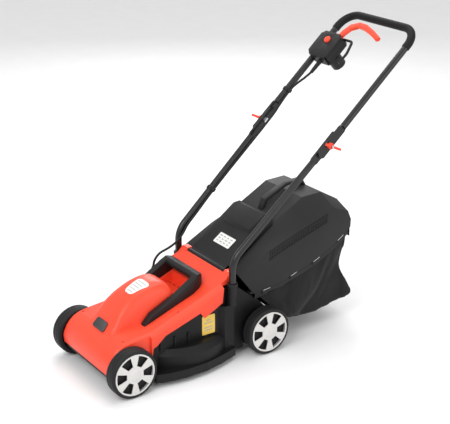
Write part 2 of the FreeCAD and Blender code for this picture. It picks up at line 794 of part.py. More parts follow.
# The seat for the flap's rod, between the two rear peaks.
sketch = new_sketch(cover, "XY_Plane", 246)
outline(sketch, rectangle(-(d.flap_half + 3), -121.5, d.flap_half + 3, -60))
pocket(cover, sketch, 100, reverse=True)
sketch = new_sketch(cover, "YZ_Plane")
disc(sketch, d.rod_y, d.rod_z, d.rod_radius)
pocket(cover, sketch, 2 * (d.flap_half + 12), both=True)
# The hole where the lead enters.
lead_x = -118
lead_y = -220
sketch = new_sketch(cover, "XY_Plane", 150)
disc(sketch, lead_x, lead_y, d.lead_radius + 2)
pocket(cover, sketch, 100, reverse=True)
sketch = new_sketch(cover, "XY_Plane", 205)
disc(sketch, lead_x, lead_y, d.lead_radius + 5)
pocket(cover, sketch, 100, reverse=True)
# The holes for the screws.
screw_spots = [(112, -458, 133), (-112, -458, 133), (116, -286, 175), (-116, -286, 175)]
for x, y, z in screw_spots:
    sketch = new_sketch(cover, "XY_Plane", z)
    disc(sketch, x, y, d.screw_radius)
    pocket(cover, sketch, 100, reverse=True)

# ---- carry handle, badge, labels and screws ----

grab = new_body("carry_handle")
grab_side = [(-377, 153.36), (-350, 182), (-270, 219), (-222, 248), (-200, 263), (-182, 261),
             (-170, 240), (-174, 228.29), (-215, 211), (-288, 185)]
sketch = new_sketch(grab, "YZ_Plane")
outline(sketch, grab_side)
pad(grab, sketch, 2 * d.grab_outer, both=True)
sketch = new_sketch(grab, "XY_Plane", 100)
outline(sketch, rectangle(-d.grab_inner, -410, d.grab_inner, -208))
pocket(grab, sketch, 200, reverse=True)
sketch = new_sketch(grab, "YZ_Plane")
outline(sketch, [(-208, 150), (-208, 243), (-190, 238), (-160, 225), (-160, 150)])
pocket(grab, sketch, 2 * d.grab_inner, both=True)

# The handle's rear corners are cut back in two steps each.
for side in (1, -1):
    sketch = new_sketch(grab, "XY_Plane", 100)
    outline(sketch, [(side * 52, -150), (side * 54, -170), (side * 72, -178), (side * 83, -194),
                     (side * 88.5, -220), (side * 120, -220), (side * 120, -150)])
    pocket(grab, sketch, 200, reverse=True)

badge = new_body("badge")
sketch = new_sketch(badge, "XY_Plane")
outline(sketch, [(-30, -10), (-24, -15), (24, -15), (30, -10), (27, 11), (22, 15), (-22, 15),
                 (-27, 11)])
pad(badge, sketch, 3)
tilt = math.atan2(ridge[1][1] - ridge[0][1], ridge[1][0] - ridge[0][0])
place(badge, 0, -463 - 0.1 * math.sin(tilt), 136 + 13 * math.tan(tilt) + 0.1 * math.cos(tilt),
      (1, 0, 0), math.degrees(tilt))

# A plain label on the hood's front slope and one on the deck's left side.
on_hood = block("label_on_hood", 40, 30, d.label_wall)
lean = math.radians(21)
place(on_hood, -8, -357 - 15 * math.cos(lean), 240.8 - 15 * math.sin(lean), (1, 0, 0), 21)
on_side = block("label_on_side", d.label_wall, 43, 56, d.deck_half, -213, 95.5)
node(group("deck_labels", on_hood, on_side), "deck_labels")

# ---- push handle: sockets, lower tubes and the folding upper part ----

sockets = []
for side in (1, -1):
    foot = d.socket_foot
    tall = d.socket_top - d.socket_foot
    outer = d.tube_radius + d.socket_wall
    name = "handle_socket_%d" % (side + 1)
    x = side * d.foot_x
    plate_x = d.deck_half if side > 0 else -(d.deck_half + 9)
    solid = fuse(name + "_solid",
                 cylinder(name + "_post", "z", outer, tall, x, d.socket_y, foot),
                 cylinder(name + "_collar", "z", outer + 1.5, 9, x, d.socket_y,
                          d.socket_top - 9),
                 block(name + "_plate", 9, 24, tall - 30, plate_x, d.socket_y - 12, foot + 4))
    bore = cylinder(name + "_bore", "z", d.tube_radius, tall, x, d.socket_y, foot + 4)
    sockets.append(cut(name, solid, bore))
node(group("handle_sockets", *sockets), "handle_sockets")

bend_end = d.corner_z - d.socket_foot - 4
sine_slope = sine(d.handle_slope)
cosine_slope = cosine(d.handle_slope)
flat_gap = 0.3
lower_flat_out = d.lower_x + d.flat_wall / 2
upper_flat_in = lower_flat_out + flat_gap
round_low = d.flat_end + 5
round_high = d.flat_end + 14


def tube_profile(body, role, offset, x, y):
    sketch = new_sketch(body, role, offset)
    disc(sketch, x, y, d.tube_radius)
    disc(sketch, x, y, d.tube_radius - d.tube_wall)
    return sketch


upper = new_body("upper_handle")
spine = new_sketch(upper, "XY_Plane")
route(spine, [(d.upper_x, round_high), (d.upper_x, d.upper_reach),
              (-d.upper_x, d.upper_reach), (-d.upper_x, round_high)],
      [d.upper_bend, d.upper_bend])
profile = tube_profile(upper, "XZ_Plane", -round_high, d.upper_x, 0)
pipe(upper, profile, spine, ["Edge1", "Edge2", "Edge3", "Edge4", "Edge5"])
for side in (1, -1):
    sketch = new_sketch(upper, "YZ_Plane", side * (upper_flat_in + d.flat_wall / 2))
    outline(sketch, [(-d.flat_foot + 8, -d.flat_half), (-d.flat_foot, -d.flat_half + 8),
                     (-d.flat_foot, d.flat_half - 8), (-d.flat_foot + 8, d.flat_half),
                     (round_high - 6, d.flat_half), (round_high + 7, 8),
                     (round_high + 7, -8), (round_high - 6, -d.flat_half)])
    pad(upper, sketch, d.flat_wall, both=True)
sketch = new_sketch(upper, "YZ_Plane")
disc(sketch, 0, 0, d.bolt_radius + d.running_gap)
pocket(upper, sketch)
on_handle(upper)

sleeve = new_body("grip_sleeve")
spine = new_sketch(sleeve, "XY_Plane")
route(spine, [(d.upper_x, d.sleeve_start), (d.upper_x, d.upper_reach),
              (-d.upper_x, d.upper_reach), (-d.upper_x, d.sleeve_start)],
      [d.upper_bend, d.upper_bend])
profile = new_sketch(sleeve, "XZ_Plane", -d.sleeve_start)
disc(profile, d.upper_x, 0, d.tube_radius + d.sleeve_wall)
disc(profile, d.upper_x, 0, d.tube_radius)
pipe(sleeve, profile, spine, ["Edge1", "Edge2", "Edge3", "Edge4", "Edge5"])
on_handle(sleeve)

upper_flat_out = upper_flat_in + d.flat_wall
nut_in = upper_flat_out + flat_gap
bolt_end = nut_in + d.nut_length + 7
bolts = []
for side in (1, -1):
    name = "wing_bolt_%d" % (side + 1)
    head_in = d.lower_x - d.flat_wall / 2
    shank = bolt_end - head_in
    head_x = head_in - 5 if side > 0 else -head_in
    shank_x = head_in if side > 0 else -bolt_end
    bolts.append(fuse(name,
                      cylinder(name + "_head", "x", d.bolt_radius * 2, 5, head_x, pivot_y, pivot_z),
                      cylinder(name + "_shank", "x", d.bolt_radius, shank, shank_x, pivot_y,
                               pivot_z)))
node(group("wing_bolts", *bolts), "wing_bolts")

for side, hand in ((1, "left"), (-1, "right")):
    body = new_body("wing_nut_" + hand)
    sketch = new_sketch(body, "YZ_Plane", side * nut_in)
    disc(sketch, 0, 0, d.nut_radius)
    hub = pad(body, sketch, d.nut_length)
    hub.Reversed = side < 0
    sketch = new_sketch(body, "XY_Plane")
    near = side * (nut_in + 3)
    far = side * (nut_in + d.wing_height)
    hub_far = side * (nut_in + d.nut_length)
    outline(sketch, [(near, -d.nut_radius + 2), (side * (nut_in + 9), -d.wing_span),
                     (far, -d.wing_span - 1), (far, -d.wing_span + 8), (hub_far, -d.nut_radius + 2),
                     (hub_far, d.nut_radius - 2), (far, d.wing_span - 8),
                     (far, d.wing_span + 1), (side * (nut_in + 9), d.wing_span),
                     (near, d.nut_radius - 2)])
    pad(body, sketch, 7, both=True)
    sketch = new_sketch(body, "YZ_Plane")
    disc(sketch, 0, 0, d.bolt_radius + d.running_gap)
    pocket(body, sketch)
    place(body, 0, pivot_y, pivot_z, (1, 0, 0), -25)

# ---- switch box ----

box_wide = d.box_right - d.box_left
box_tall = d.box_high - d.box_low
lever_x = -104
lever_y = 322
button_x = -124
button_y = 306


def box_half(label_text, low, high, top):
    """One half of the switch box, clamped round the tube."""
    body = new_body(label_text)
    sketch = new_sketch(body, "XY_Plane", low)
    outline(sketch, [(d.box_left + 16, d.box_low), (d.box_right - 8, d.box_low),
                     (d.box_right, d.box_low + 8), (d.box_right, d.box_high - 10),
                     (d.box_right - 10, d.box_high), (d.box_left + 12, d.box_high),
                     (d.box_left, d.box_high - 12), (d.box_left, d.box_low + 14)])
    pad(body, sketch, high - low)
    room_low = low + d.box_wall if not top else low
    sketch = new_sketch(body, "XY_Plane", room_low)
    outline(sketch, rectangle(-141, d.box_low + d.box_wall, d.box_right - d.box_wall,
                              d.box_high - d.box_wall))
    pocket(body, sketch, high - low - d.box_wall, reverse=True)
    sketch = new_sketch(body, "XZ_Plane", -300)
    disc(sketch, -d.upper_x, 0, d.tube_radius)
    pocket(body, sketch)
    return body


box_upper = box_half("switch_box_upper", size(0), d.box_over, True)
sketch = new_sketch(box_upper, "XY_Plane", 10)
disc(sketch, button_x, button_y, d.button_radius + 0.3)
pocket(box_upper, sketch, 50, reverse=True)
sketch = new_sketch(box_upper, "XY_Plane", d.lever_low - 0.5)
outline(sketch, rectangle(-119, d.box_high - d.box_wall - 2, -85, d.box_high + 10))
pocket(box_upper, sketch, d.lever_wall + 1, reverse=True)
on_handle(box_upper)
box_lower = box_half("switch_box_lower", -d.box_under, size(0), False)
sketch = new_sketch(box_lower, "XZ_Plane", -(d.box_low + 10))
disc(sketch, -114, 0, d.lead_radius)
pocket(box_lower, sketch, 40, both=True)
sketch = new_sketch(box_upper, "XZ_Plane", -(d.box_low + 10))
disc(sketch, -114, 0, d.lead_radius)
pocket(box_upper, sketch, 40, both=True)

lever = new_body("switch_lever")
sketch = new_sketch(lever, "XY_Plane", d.lever_low)
outline(sketch, [(-112, 316), (-104, 312), (-96, 317), (-92, 330), (-90, 345), (-80, 366),
                 (-58, 380), (-30, 377), (10, 366), (40, 354), (50, 358), (48, 368),
                 (14, 382), (-28, 395), (-62, 397), (-92, 382), (-105, 355), (-109, 335)])
disc(sketch, lever_x, lever_y, 2.55)
pad(lever, sketch, d.lever_wall)
on_handle(lever)
# The pin that the lever turns on, moulded in the lower half.
sketch = new_sketch(box_lower, "XY_Plane", -d.box_under + d.box_wall - 1)
disc(sketch, lever_x, lever_y, 2.5)
pad(box_lower, sketch, d.lever_low + d.lever_wall + d.box_under - d.box_wall + 1.4)
# The bosses that its spring and the button's spring stand on.
for x, y, radius, top in ((lever_x, lever_y, 7, 0.2), (button_x, button_y, 6.5, 8)):
    sketch = new_sketch(box_lower, "XY_Plane", -d.box_under + d.box_wall - 1)
    disc(sketch, x, y, radius)
    pad(box_lower, sketch, d.box_under - d.box_wall + 1 + top)

button = new_body("lock_button")
sketch = new_sketch(button, "XZ_Plane")
button_low = d.box_over - 3
outline(sketch, [(0, button_low), (d.button_radius, button_low), (d.button_radius, d.box_over + 3),
                 (d.button_radius - 2, d.box_over + 5), (0, d.box_over + 5.6)])
turned(button, sketch, "V_Axis")
on_handle(button, button_x, button_y)

spring = ring("button_coil", "z", 6, 5, d.box_over - 11.1, 0, 0, 8)
node(group("button_spring_group", spring), "button_spring")
on_handle(NODES[-1], button_x, button_y)
spring = ring("lever_coil", "z", 7, 5.6, 3.4, 0, 0, 0.2)
node(group("lever_spring_group", spring), "lever_spring")
on_handle(NODES[-1], lever_x, lever_y)

# The switch under the lever's root, and the two pins and shroud that a lead plugs on to.
switch = fuse("switch_solid", block("switch_base", 22, 30, 12, -137, 262, -9),
              block("switch_plunger", 5, 5, 3, -119, 280, 3))
node(group("switch_module_group", switch), "switch_module")
on_handle(NODES[-1])
inlet_x = -98
inlet_y = 276
sketch = new_sketch(box_lower, "XY_Plane", -d.box_under - d.inlet_depth)
disc(sketch, inlet_x, inlet_y, d.inlet_radius)
pad(box_lower, sketch, d.inlet_depth + 1)
sketch = new_sketch(box_lower, "XY_Plane", -d.box_under - d.inlet_depth)
disc(sketch, inlet_x, inlet_y, d.inlet_radius - 2.5)
pocket(box_lower, sketch, d.inlet_depth - 3, reverse=True)
on_handle(box_lower)
pins = []
for side in (1, -1):
    pins.append(cylinder("inlet_pin_%d" % (side + 1), "z", d.pin_radius, d.pin_length,
                         side * d.pin_half, 0, -d.box_under - 3 - d.pin_length))
node(group("inlet_pins_group", *pins), "inlet_pins")
on_handle(NODES[-1], inlet_x, inlet_y)

relief = new_body("strain_relief")
sketch = new_sketch(relief, "XY_Plane")
bore = d.lead_radius
outline(sketch, [(bore, 0), (bore + 4, 0), (bore + 4, -5), (bore + 3.5, -6), (bore + 1.6, -46),
                 (bore, -46)])
turned(relief, sketch, "V_Axis")
on_handle(relief, -114, d.box_low)


# ---- bent rods and the lead ----

def arc_path(points, radii):
    """Straight runs joined by tangent arcs, in space, as one wire, and its length."""
    spots = [V(*[float(c) for c in p]) for p in points]
    edges = []
    last = spots[0]
    for before, spot, after, radius in zip(spots, spots[1:], spots[2:], radii):
        back = (before - spot).normalize()
        ahead = (after - spot).normalize()
        half = back.getAngle(ahead) / 2
        reach = float(radius) / math.tan(half)
        centre = spot + (back + ahead).normalize() * (float(radius) / math.sin(half))
        enter = spot + back * reach
        leave = spot + ahead * reach
        middle = centre + (spot - centre).normalize() * float(radius)
        if (enter - last).Length > 1e-6:
            edges.append(Part.LineSegment(last, enter).toShape())
        edges.append(Part.Arc(enter, middle, leave).toShape())
        last = leave
    edges.append(Part.LineSegment(last, spots[-1]).toShape())
    wire = Part.Wire(edges)
    return wire, sum(e.Length for e in edges)


def easy_radii(points):
    """For each inner point, 0.45 of its shorter run over the tangent of half its turn."""
    spots = [V(*[float(c) for c in p]) for p in points]
    radii = []
    for before, spot, after in zip(spots, spots[1:], spots[2:]):
        first = spot - before
        second = after - spot
        turn = first.getAngle(second)
        radii.append(0.45 * min(first.Length, second.Length) / math.tan(turn / 2))
    return radii


def sweep(label_text, points, radii, radius):
    """A round bar along a path, its volume checked against section times length."""
    wire, length = arc_path(points, radii)
    start = V(*[float(c) for c in points[0]])
    ahead = V(*[float(c) for c in points[1]]) - start
    circle = Part.Wire([Part.Circle(start, ahead, float(radius)).toShape()])
    solid = wire.makePipeShell([circle], True, True)
    expected = math.pi * float(radius) ** 2 * length
    if abs(solid.Volume - expected) > 0.01 * expected:
        raise RuntimeError("%s: volume %.0f, expected %.0f" % (label_text, solid.Volume, expected))
    print(label_text, "length %.0f" % length, "radii", [round(float(r)) for r in radii])
    made = doc.addObject("Part::Feature", label_text)
    made.Shape = solid
    made.Placement = FreeCAD.Placement()
    return made


def rod(label_text, points, radii, radius):
    return node(sweep(label_text, points, radii, radius), label_text)


def to_world(x, y, w):
    """A point of the handle's frame in the machine's frame."""
    angle = math.radians(float(d.handle_slope))
    return (float(x), float(pivot_y) + float(y) * math.cos(angle) - float(w) * math.sin(angle),
            float(pivot_z) + float(y) * math.sin(angle) + float(w) * math.cos(angle))


# The open hook that the plugged-in lead is looped over, moulded on the box.
hook_points = [(-84, 331, 4.5), (-45, 331, 4.5), (-31, 288, 4.5), (-33, 250, 4.5)]
hook = sweep("cord_hook", [to_world(*p) for p in hook_points], [12, 40], 4)
NODES.remove(box_upper)
box_upper.Label = "switch_box_upper_half"
node(fuse("switch_box_upper_with_hook", box_upper, hook), "switch_box_upper")


def splay(y):
    """How far out the lower tubes are at y on the handle."""
    low = -float(d.lower_reach)
    high = -float(round_high)
    part = (y - low) / (high - low)
    return float(d.foot_x) + (float(d.lower_x) - float(d.foot_x)) * part


# The lower tubes: upright in their sockets, then up the slope and out to the flat ends.
for side, hand in ((1, "left"), (-1, "right")):
    points = [(side * d.foot_x, d.socket_y, d.socket_foot + 4),
              (side * d.foot_x, d.socket_y, d.corner_z),
              to_world(side * d.lower_x, -round_high, 0)]
    tube = cut("tube_%s" % hand,
               sweep("tube_outer_" + hand, points, [d.lower_bend], d.tube_radius),
               sweep("tube_inner_" + hand, points, [d.lower_bend],
                     d.tube_radius - d.tube_wall))
    flat = new_body("tube_flat_" + hand)
    NODES.remove(flat)
    sketch = new_sketch(flat, "YZ_Plane", side * d.lower_x)
    outline(sketch, [(d.flat_foot - 8, -d.flat_half), (d.flat_foot, -d.flat_half + 8),
                     (d.flat_foot, d.flat_half - 8), (d.flat_foot - 8, d.flat_half),
                     (-round_high + 6, d.flat_half), (-round_high - 7, 8),
                     (-round_high - 7, -8), (-round_high + 6, -d.flat_half)])
    pad(flat, sketch, d.flat_wall, both=True)
    sketch = new_sketch(flat, "YZ_Plane")
    disc(sketch, 0, 0, d.bolt_radius + d.running_gap)
    pocket(flat, sketch)
    on_handle(flat)
    node(fuse("lower_tube_" + hand, tube, flat), "lower_tube_" + hand)

# The lead: out of the relief, over to the tube, past the fold on the fold axis itself,
# down the inner side of the lower tube, and forward into the cover.
upper_lead = [(-114, d.box_low + 8, 0), (-114, 226, 0), (-114.5, 196, 0), (-118, 172, 3),
              (-129, 150, 3), (-139.8, 130, 0.5), (-139.8, 92, 0), (-137, 60, -1),
              (-131, 30, -0.5), (-130, 0.5, 0)]
upper_world = [to_world(*p) for p in upper_lead]
rod("lead_upper", upper_world, easy_radii(upper_world), d.lead_radius)
lower_lead = [(-130, -0.5, 0), (-130.5, -40, -1), (-131.8, -96, -2), (-130.6, -150, -1)]
lower_lead += [(float(d.lead_offset) - splay(y), y, 0) for y in (-205, -290)]
lower_world = [to_world(*p) for p in lower_lead]
lower_world += [(-126, -66, 349), (-124.5, -97, 322), (-122.5, -116, 296), (-121, -138, 276),
                (-120, -168, 264), (-119, -200, 257), (lead_x, lead_y, 236),
                (lead_x, lead_y, 178)]
rod("lead_lower", lower_world, easy_radii(lower_world), d.lead_radius)


def clip(label_text, tube_x, lead_dx, y, lean=0):
    """A strap with one ring round the tube and a smaller one round the lead."""
    wide = d.clip_width
    big = d.tube_radius
    small = d.lead_radius
    solid = fuse(label_text + "_solid",
                 cylinder(label_text + "_a", "y", big + d.clip_wall, wide),
                 cylinder(label_text + "_b", "y", small + d.clip_wall, wide, lead_dx))
    bores = fuse(label_text + "_bores",
                 cylinder(label_text + "_c", "y", big, wide),
                 cylinder(label_text + "_d", "y", small + 0.4, wide, lead_dx))
    node(cut(label_text, solid, bores), label_text)
    made = on_handle(NODES[-1], -size(tube_x), y)
    if lean:
        made.setExpression("Placement.Rotation.Angle", None)
        slope = FreeCAD.Rotation(V(1, 0, 0), float(d.handle_slope))
        made.Placement = FreeCAD.Placement(
            made.Placement.Base, slope.multiply(FreeCAD.Rotation(V(0, 0, 1), lean)))
    return made


lean = math.degrees(math.atan2(splay(-100) - splay(-200), 100))
clip("lead_clip_upper", d.upper_x, size(15), size(111))
clip("lead_clip_lower", splay(-272), d.lead_offset, size(-272), lean)

gland = new_body("lead_gland")
sketch = new_sketch(gland, "XZ_Plane")
outline(sketch, [(bore, 190), (bore + 2, 190), (bore + 2, 205), (bore + 5, 205),
                 (bore + 4.4, 213), (bore + 1.5, 222), (bore, 222)])
turned(gland, sketch, "V_Axis")
place(gland, lead_x, lead_y)

# ---- flap ----

flap = new_body("rear_flap")


def on_flap(thing, x=0, y=0, w=0):
    """Places a piece drawn in the flap's frame: origin on its rod, y down its length."""
    slope = d.flap_slope
    place(thing, x, d.rod_y + y * cosine(slope) - w * sine(slope),
          d.rod_z + y * sine(slope) + w * cosine(slope), (1, 0, 0), slope)
    return thing


flap_low = 1
sketch = new_sketch(flap, "YZ_Plane")
disc(sketch, 0, 0, d.barrel_radius)
pad(flap, sketch, 2 * (d.flap_half - 1), both=True)
sketch = new_sketch(flap, "XY_Plane", flap_low)
outline(sketch, [(-d.flap_half + 6, 0), (d.flap_half - 6, 0), (d.flap_half - 6, 18),
                 (d.flap_half, 18), (d.flap_half, d.flap_length - 14),
                 (d.flap_half - 14, d.flap_length), (-d.flap_half + 14, d.flap_length),
                 (-d.flap_half, d.flap_length - 14), (-d.flap_half, 18),
                 (-d.flap_half + 6, 18)])
pad(flap, sketch, d.flap_wall)
for side in (1, -1):
    sketch = new_sketch(flap, "YZ_Plane", side * (d.flap_half - d.flap_wall / 2))
    outline(sketch, [(18, flap_low + 1), (18, flap_low - 1.5), (d.flap_length - 14, -8),
                     (d.flap_length - 14, flap_low + 1)])
    pad(flap, sketch, d.flap_wall, both=True)
sketch = new_sketch(flap, "YZ_Plane")
outline(sketch, [(128, 2), (138, 15), (d.flap_length - 8, 13), (d.flap_length - 2, 2)])
pad(flap, sketch, 124, both=True)
sketch = new_sketch(flap, "YZ_Plane")
disc(sketch, 0, 0, d.rod_radius + d.running_gap)
pocket(flap, sketch)
for side in (1, -1):
    sketch = new_sketch(flap, "YZ_Plane", side * 70)
    disc(sketch, 0, 0, d.rod_radius + 2.3)
    pocket(flap, sketch, 18, both=True)
on_flap(flap)

flap_rod = cylinder("flap_rod_solid", "x", d.rod_radius, 2 * (d.flap_half + 12),
                    -(d.flap_half + 12), d.rod_y, d.rod_z)
node(flap_rod, "flap_rod")
coils = []
for side in (1, -1):
    x = 62 if side > 0 else -78
    coils.append(ring("flap_coil_%d" % (side + 1), "x", d.rod_radius + 1.8, d.rod_radius, 16,
                      x, d.rod_y, d.rod_z))
node(group("flap_springs", *coils), "flap_springs")
body = new_body("flap_label")
sketch = new_sketch(body, "XY_Plane")
outline(sketch, rectangle(-38, -18, 38, 18))
pad(body, sketch, d.label_wall)
on_flap(body, 0, 78, flap_low + d.flap_wall)

# ---- catcher ----

lid = new_body("catcher_lid")
lid_under = [(303, 310), (246, 272), (183, 239), (117, 218), (61, 201), (10, 193), (-46, 185)]
lid_side = [(-98, 252), (0, 302), (90, 335), (160, 358), (235, 385), (292, 362), (304, 335)]
lid_crown = [(-92, 256), (-20, 306.5), (64, 366.5), (160, 418), (228, 420), (290, 386),
             (306, 345)]


def lid_section(x, top, body=lid):
    sketch = new_sketch(body, "YZ_Plane", x)
    outline(sketch, top + lid_under)
    return sketch


loft(lid, [lid_section(-d.lid_half, lid_side), lid_section(-d.crown_half, lid_crown),
           lid_section(d.crown_half, lid_crown), lid_section(d.lid_half, lid_side)])


def inset(points, wall):
    """The same line moved inwards, with its front end carried on past the mouth."""
    moved = []
    for index, (y, z) in enumerate(points):
        before = points[max(index - 1, 0)]
        after = points[min(index + 1, len(points) - 1)]
        along = V(after[0] - before[0], after[1] - before[1], 0).normalize()
        moved.append((y + along.y * wall, z - along.x * wall))
    return moved


lid_inner_under = [(360, 306), (300, 250), (183, 180), (117, 160), (61, 120), (-60, 40),
                   (-180, 130)]


def lid_room(x, top):
    sketch = new_sketch(lid, "YZ_Plane", x)
    line = inset(top, 3.2)
    line[0] = (line[0][0] - 70, line[0][1] - 45)
    line[-1] = (line[-1][0], line[-1][1])
    outline(sketch, line + [(299.5, 300)] + lid_inner_under[1:])
    return sketch


made = feature(lid, "SubtractiveLoft", lid_room(-(d.lid_half - d.lid_wall), lid_side))
made.Sections = [lid_room(-(d.crown_half - 1), lid_crown), lid_room(d.crown_half - 1, lid_crown),
                 lid_room(d.lid_half - d.lid_wall, lid_side)]
made.Ruled = True

# The lugs that rest over the deck's sloping edges.
for side in (1, -1):
    sketch = new_sketch(lid, "XY_Plane", 187)
    outline(sketch, rectangle(side * (d.deck_half - 4), -58, side * (d.lid_half - 1), -40))
    pad(lid, sketch, 6)

grip = new_body("catcher_grip")
sketch = new_sketch(grip, "YZ_Plane")
outline(sketch, [(72, 370.9), (84, 404), (162, 438), (222, 440), (236, 415.7), (228, 420.1),
                 (223, 420), (213, 430), (164, 428), (94, 396), (86, 378.4)])
pad(grip, sketch, 22, both=True)

bag = new_body("catcher_bag")
bag_outer = [(-20, 160), (-44, 183), (10, 191), (61, 199), (117, 216), (183, 237), (246, 270),
             (304, 308), (305, 246), (291, 217), (299, 173), (327, 130), (346, 97), (343, 78),
             (287, 62), (210, 50), (157, 48), (115, 56), (85, 68), (56, 84)]
bag_inner = [(-60, 168), (-60, 240), (300, 400), (301, 246), (287.5, 217), (296, 172),
             (324, 129), (342, 97), (341, 80), (286, 65), (210, 53), (157, 51), (116, 59),
             (87, 71), (40, 84)]
sketch = new_sketch(bag, "YZ_Plane")
outline(sketch, bag_outer)
pad(bag, sketch, 2 * d.bag_half, both=True)
sketch = new_sketch(bag, "YZ_Plane")
outline(sketch, bag_inner)
pocket(bag, sketch, 2 * (d.bag_half - d.bag_wall), both=True)

wire_points = [(-d.wire_half, -24, 184), (-d.wire_half, 62, 88), (d.wire_half, 62, 88),
               (d.wire_half, -24, 184)]
rod("catcher_frame", wire_points, [12, 12], d.wire_radius)

# The clips that hold the bag's hem to the lid's lower edge.
hem = []
for side in (1, -1):
    for index, (y, z) in enumerate([(-12, 184), (86, 203), (168, 230), (262, 282)]):
        x = d.bag_half if side > 0 else -(d.lid_half - d.lid_wall)
        wide = d.lid_half - d.lid_wall - d.bag_half
        hem.append(block("hem_clip_%d_%d" % (side + 1, index), wide, 26, 14, x, y, z))
node(group("hem_clips", *hem), "hem_clips")

# ---- screws ----

screws = []
for x, y, z in screw_spots:
    screws.append(cylinder("cover_screw_%d" % len(screws), "z", d.screw_radius, 8, x, y, z))
node(group("cover_screws", *screws), "cover_screws")

# ---- checks and files ----

doc.recompute()
faults = []
for thing in doc.Objects:
    for state in thing.State:
        if state in ("Invalid", "Error"):
            faults.append("%s (%s)" % (thing.Label, state))
for thing in NODES:
    shape = thing.Shape
    if shape.isNull():
        faults.append(thing.Label + " (empty)")
    elif not shape.isValid():
        faults.append(thing.Label + " (not valid)")
    elif not shape.Solids:
        faults.append(thing.Label + " (no solid)")
if faults:
    raise RuntimeError("failed: " + ", ".join(faults))

os.makedirs("parts", exist_ok=True)
for thing in NODES:
    thing.Shape.exportStep("parts/" + thing.Label + ".step")
    print("%-22s solids %d volume %.0f" % (thing.Label, len(thing.Shape.Solids),
                                           thing.Shape.Volume))
print(len(NODES), "nodes")
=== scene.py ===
# %% [markdown]
# # A small push lawn mower
# The machine's sizes and moving bodies come from its CAD model, which is loaded as a fixed
# frame. This lesson gives each piece its finish and builds what CAD leaves plain: soft edges,
# a sewn cloth bag, tyres, louvres, labels and the studio around them.

# %% Load the frame
import bmesh, bpy, math
from mathutils import Matrix, Vector, noise
from mathutils.bvhtree import BVHTree


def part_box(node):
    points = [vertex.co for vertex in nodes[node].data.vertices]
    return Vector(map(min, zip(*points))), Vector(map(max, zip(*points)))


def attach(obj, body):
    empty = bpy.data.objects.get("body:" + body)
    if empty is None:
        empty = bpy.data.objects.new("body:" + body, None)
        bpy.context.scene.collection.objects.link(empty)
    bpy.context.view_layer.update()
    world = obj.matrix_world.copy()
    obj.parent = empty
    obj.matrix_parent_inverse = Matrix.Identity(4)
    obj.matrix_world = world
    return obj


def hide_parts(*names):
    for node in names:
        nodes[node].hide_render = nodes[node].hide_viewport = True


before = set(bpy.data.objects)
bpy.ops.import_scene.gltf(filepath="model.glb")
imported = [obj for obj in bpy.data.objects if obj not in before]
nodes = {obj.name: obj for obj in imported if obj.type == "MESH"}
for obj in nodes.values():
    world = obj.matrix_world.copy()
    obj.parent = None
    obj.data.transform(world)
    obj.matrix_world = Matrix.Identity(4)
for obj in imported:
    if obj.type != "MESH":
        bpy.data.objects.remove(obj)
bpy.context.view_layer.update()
scene = bpy.context.scene

# %% [markdown]
# ## Camera, floor and light
# A camera is an object with a focal length. This one looks down on the mower's front corner
# from a little over three metres, so a long lens keeps the tubes nearly parallel. Big area
# lights give the soft edges of a studio; a sun would draw hard shadows.

# %% Camera
camera_place = Vector((2.5973, -1.8404, 1.6213))
camera_target = Vector((0.07841, -0.10334, 0.42706))
camera_data = bpy.data.cameras.new("studio_camera")
camera_data.lens = 94.95
camera_data.sensor_width = 36
camera_data.clip_end = 50
camera = bpy.data.objects.new("studio_camera", camera_data)
scene.collection.objects.link(camera)
camera.location = camera_place
aim = camera_target - camera_place
camera.rotation_euler = aim.to_track_quat("-Z", "Y").to_euler()
scene.camera = camera
scene.view_settings.view_transform = "Standard"
print("camera looks along", [round(c, 3) for c in aim.normalized()])

# %% [markdown]
# The helpers below turn a finished bmesh into an object, round a set of edges, and pick the
# points out of an operator's result. Keeping the object at the origin, with its place in its
# mesh, lets a pattern on Object coordinates stay where it is put.


# %% Helpers: object from bmesh, rounded edges, and the points an operator made
def make_object(name, bm, material=None, smooth_angle=35):
    mesh = bpy.data.meshes.new(name)
    bm.to_mesh(mesh)
    bm.free()
    if smooth_angle:
        mesh.shade_smooth()
        mesh.set_sharp_from_angle(angle=math.radians(smooth_angle))
    piece = bpy.data.objects.new(name, mesh)
    scene.collection.objects.link(piece)
    if material:
        mesh.materials.append(material)
    return piece


def round_edges(bm, edges, width, segments=2):
    """Bevel these edges by width, all round."""
    bmesh.ops.bevel(bm, geom=edges, offset=width, offset_type="OFFSET", segments=segments,
                    profile=0.5, affect="EDGES", clamp_overlap=True, material=-1)


def new_points(made):
    """The vertices among what an extrude made."""
    return [v for v in made["geom"] if isinstance(v, bmesh.types.BMVert)]


# %% Floor and lights
bm = bmesh.new()
bmesh.ops.create_grid(bm, x_segments=2, y_segments=2, size=6)
floor = make_object("floor", bm, smooth_angle=None)

world = bpy.data.worlds.new("studio_air")
world.use_nodes = True
world.node_tree.nodes["Background"].inputs["Color"].default_value = (1, 1, 1, 1)
world.node_tree.nodes["Background"].inputs["Strength"].default_value = 0.80
scene.world = world


def softbox(name, place, target, size, power):
    """A square area light that faces its target."""
    light = bpy.data.lights.new(name, "AREA")
    light.size = size
    light.energy = power
    lamp = bpy.data.objects.new(name, light)
    lamp.location = place
    lamp.rotation_euler = (Vector(target) - Vector(place)).to_track_quat("-Z", "Y").to_euler()
    scene.collection.objects.link(lamp)


softbox("key", (1.2, -2.6, 2.6), (0, 0, 0.3), 1.8, 52)
softbox("fill", (3.2, 0.8, 1.6), (0, 0, 0.3), 2.0, 24)
softbox("top", (-0.4, 0.4, 3.2), (0, 0, 0.2), 2.2, 34)
softbox("rim", (-2.6, 1.6, 1.8), (0, 0, 0.4), 1.2, 26)

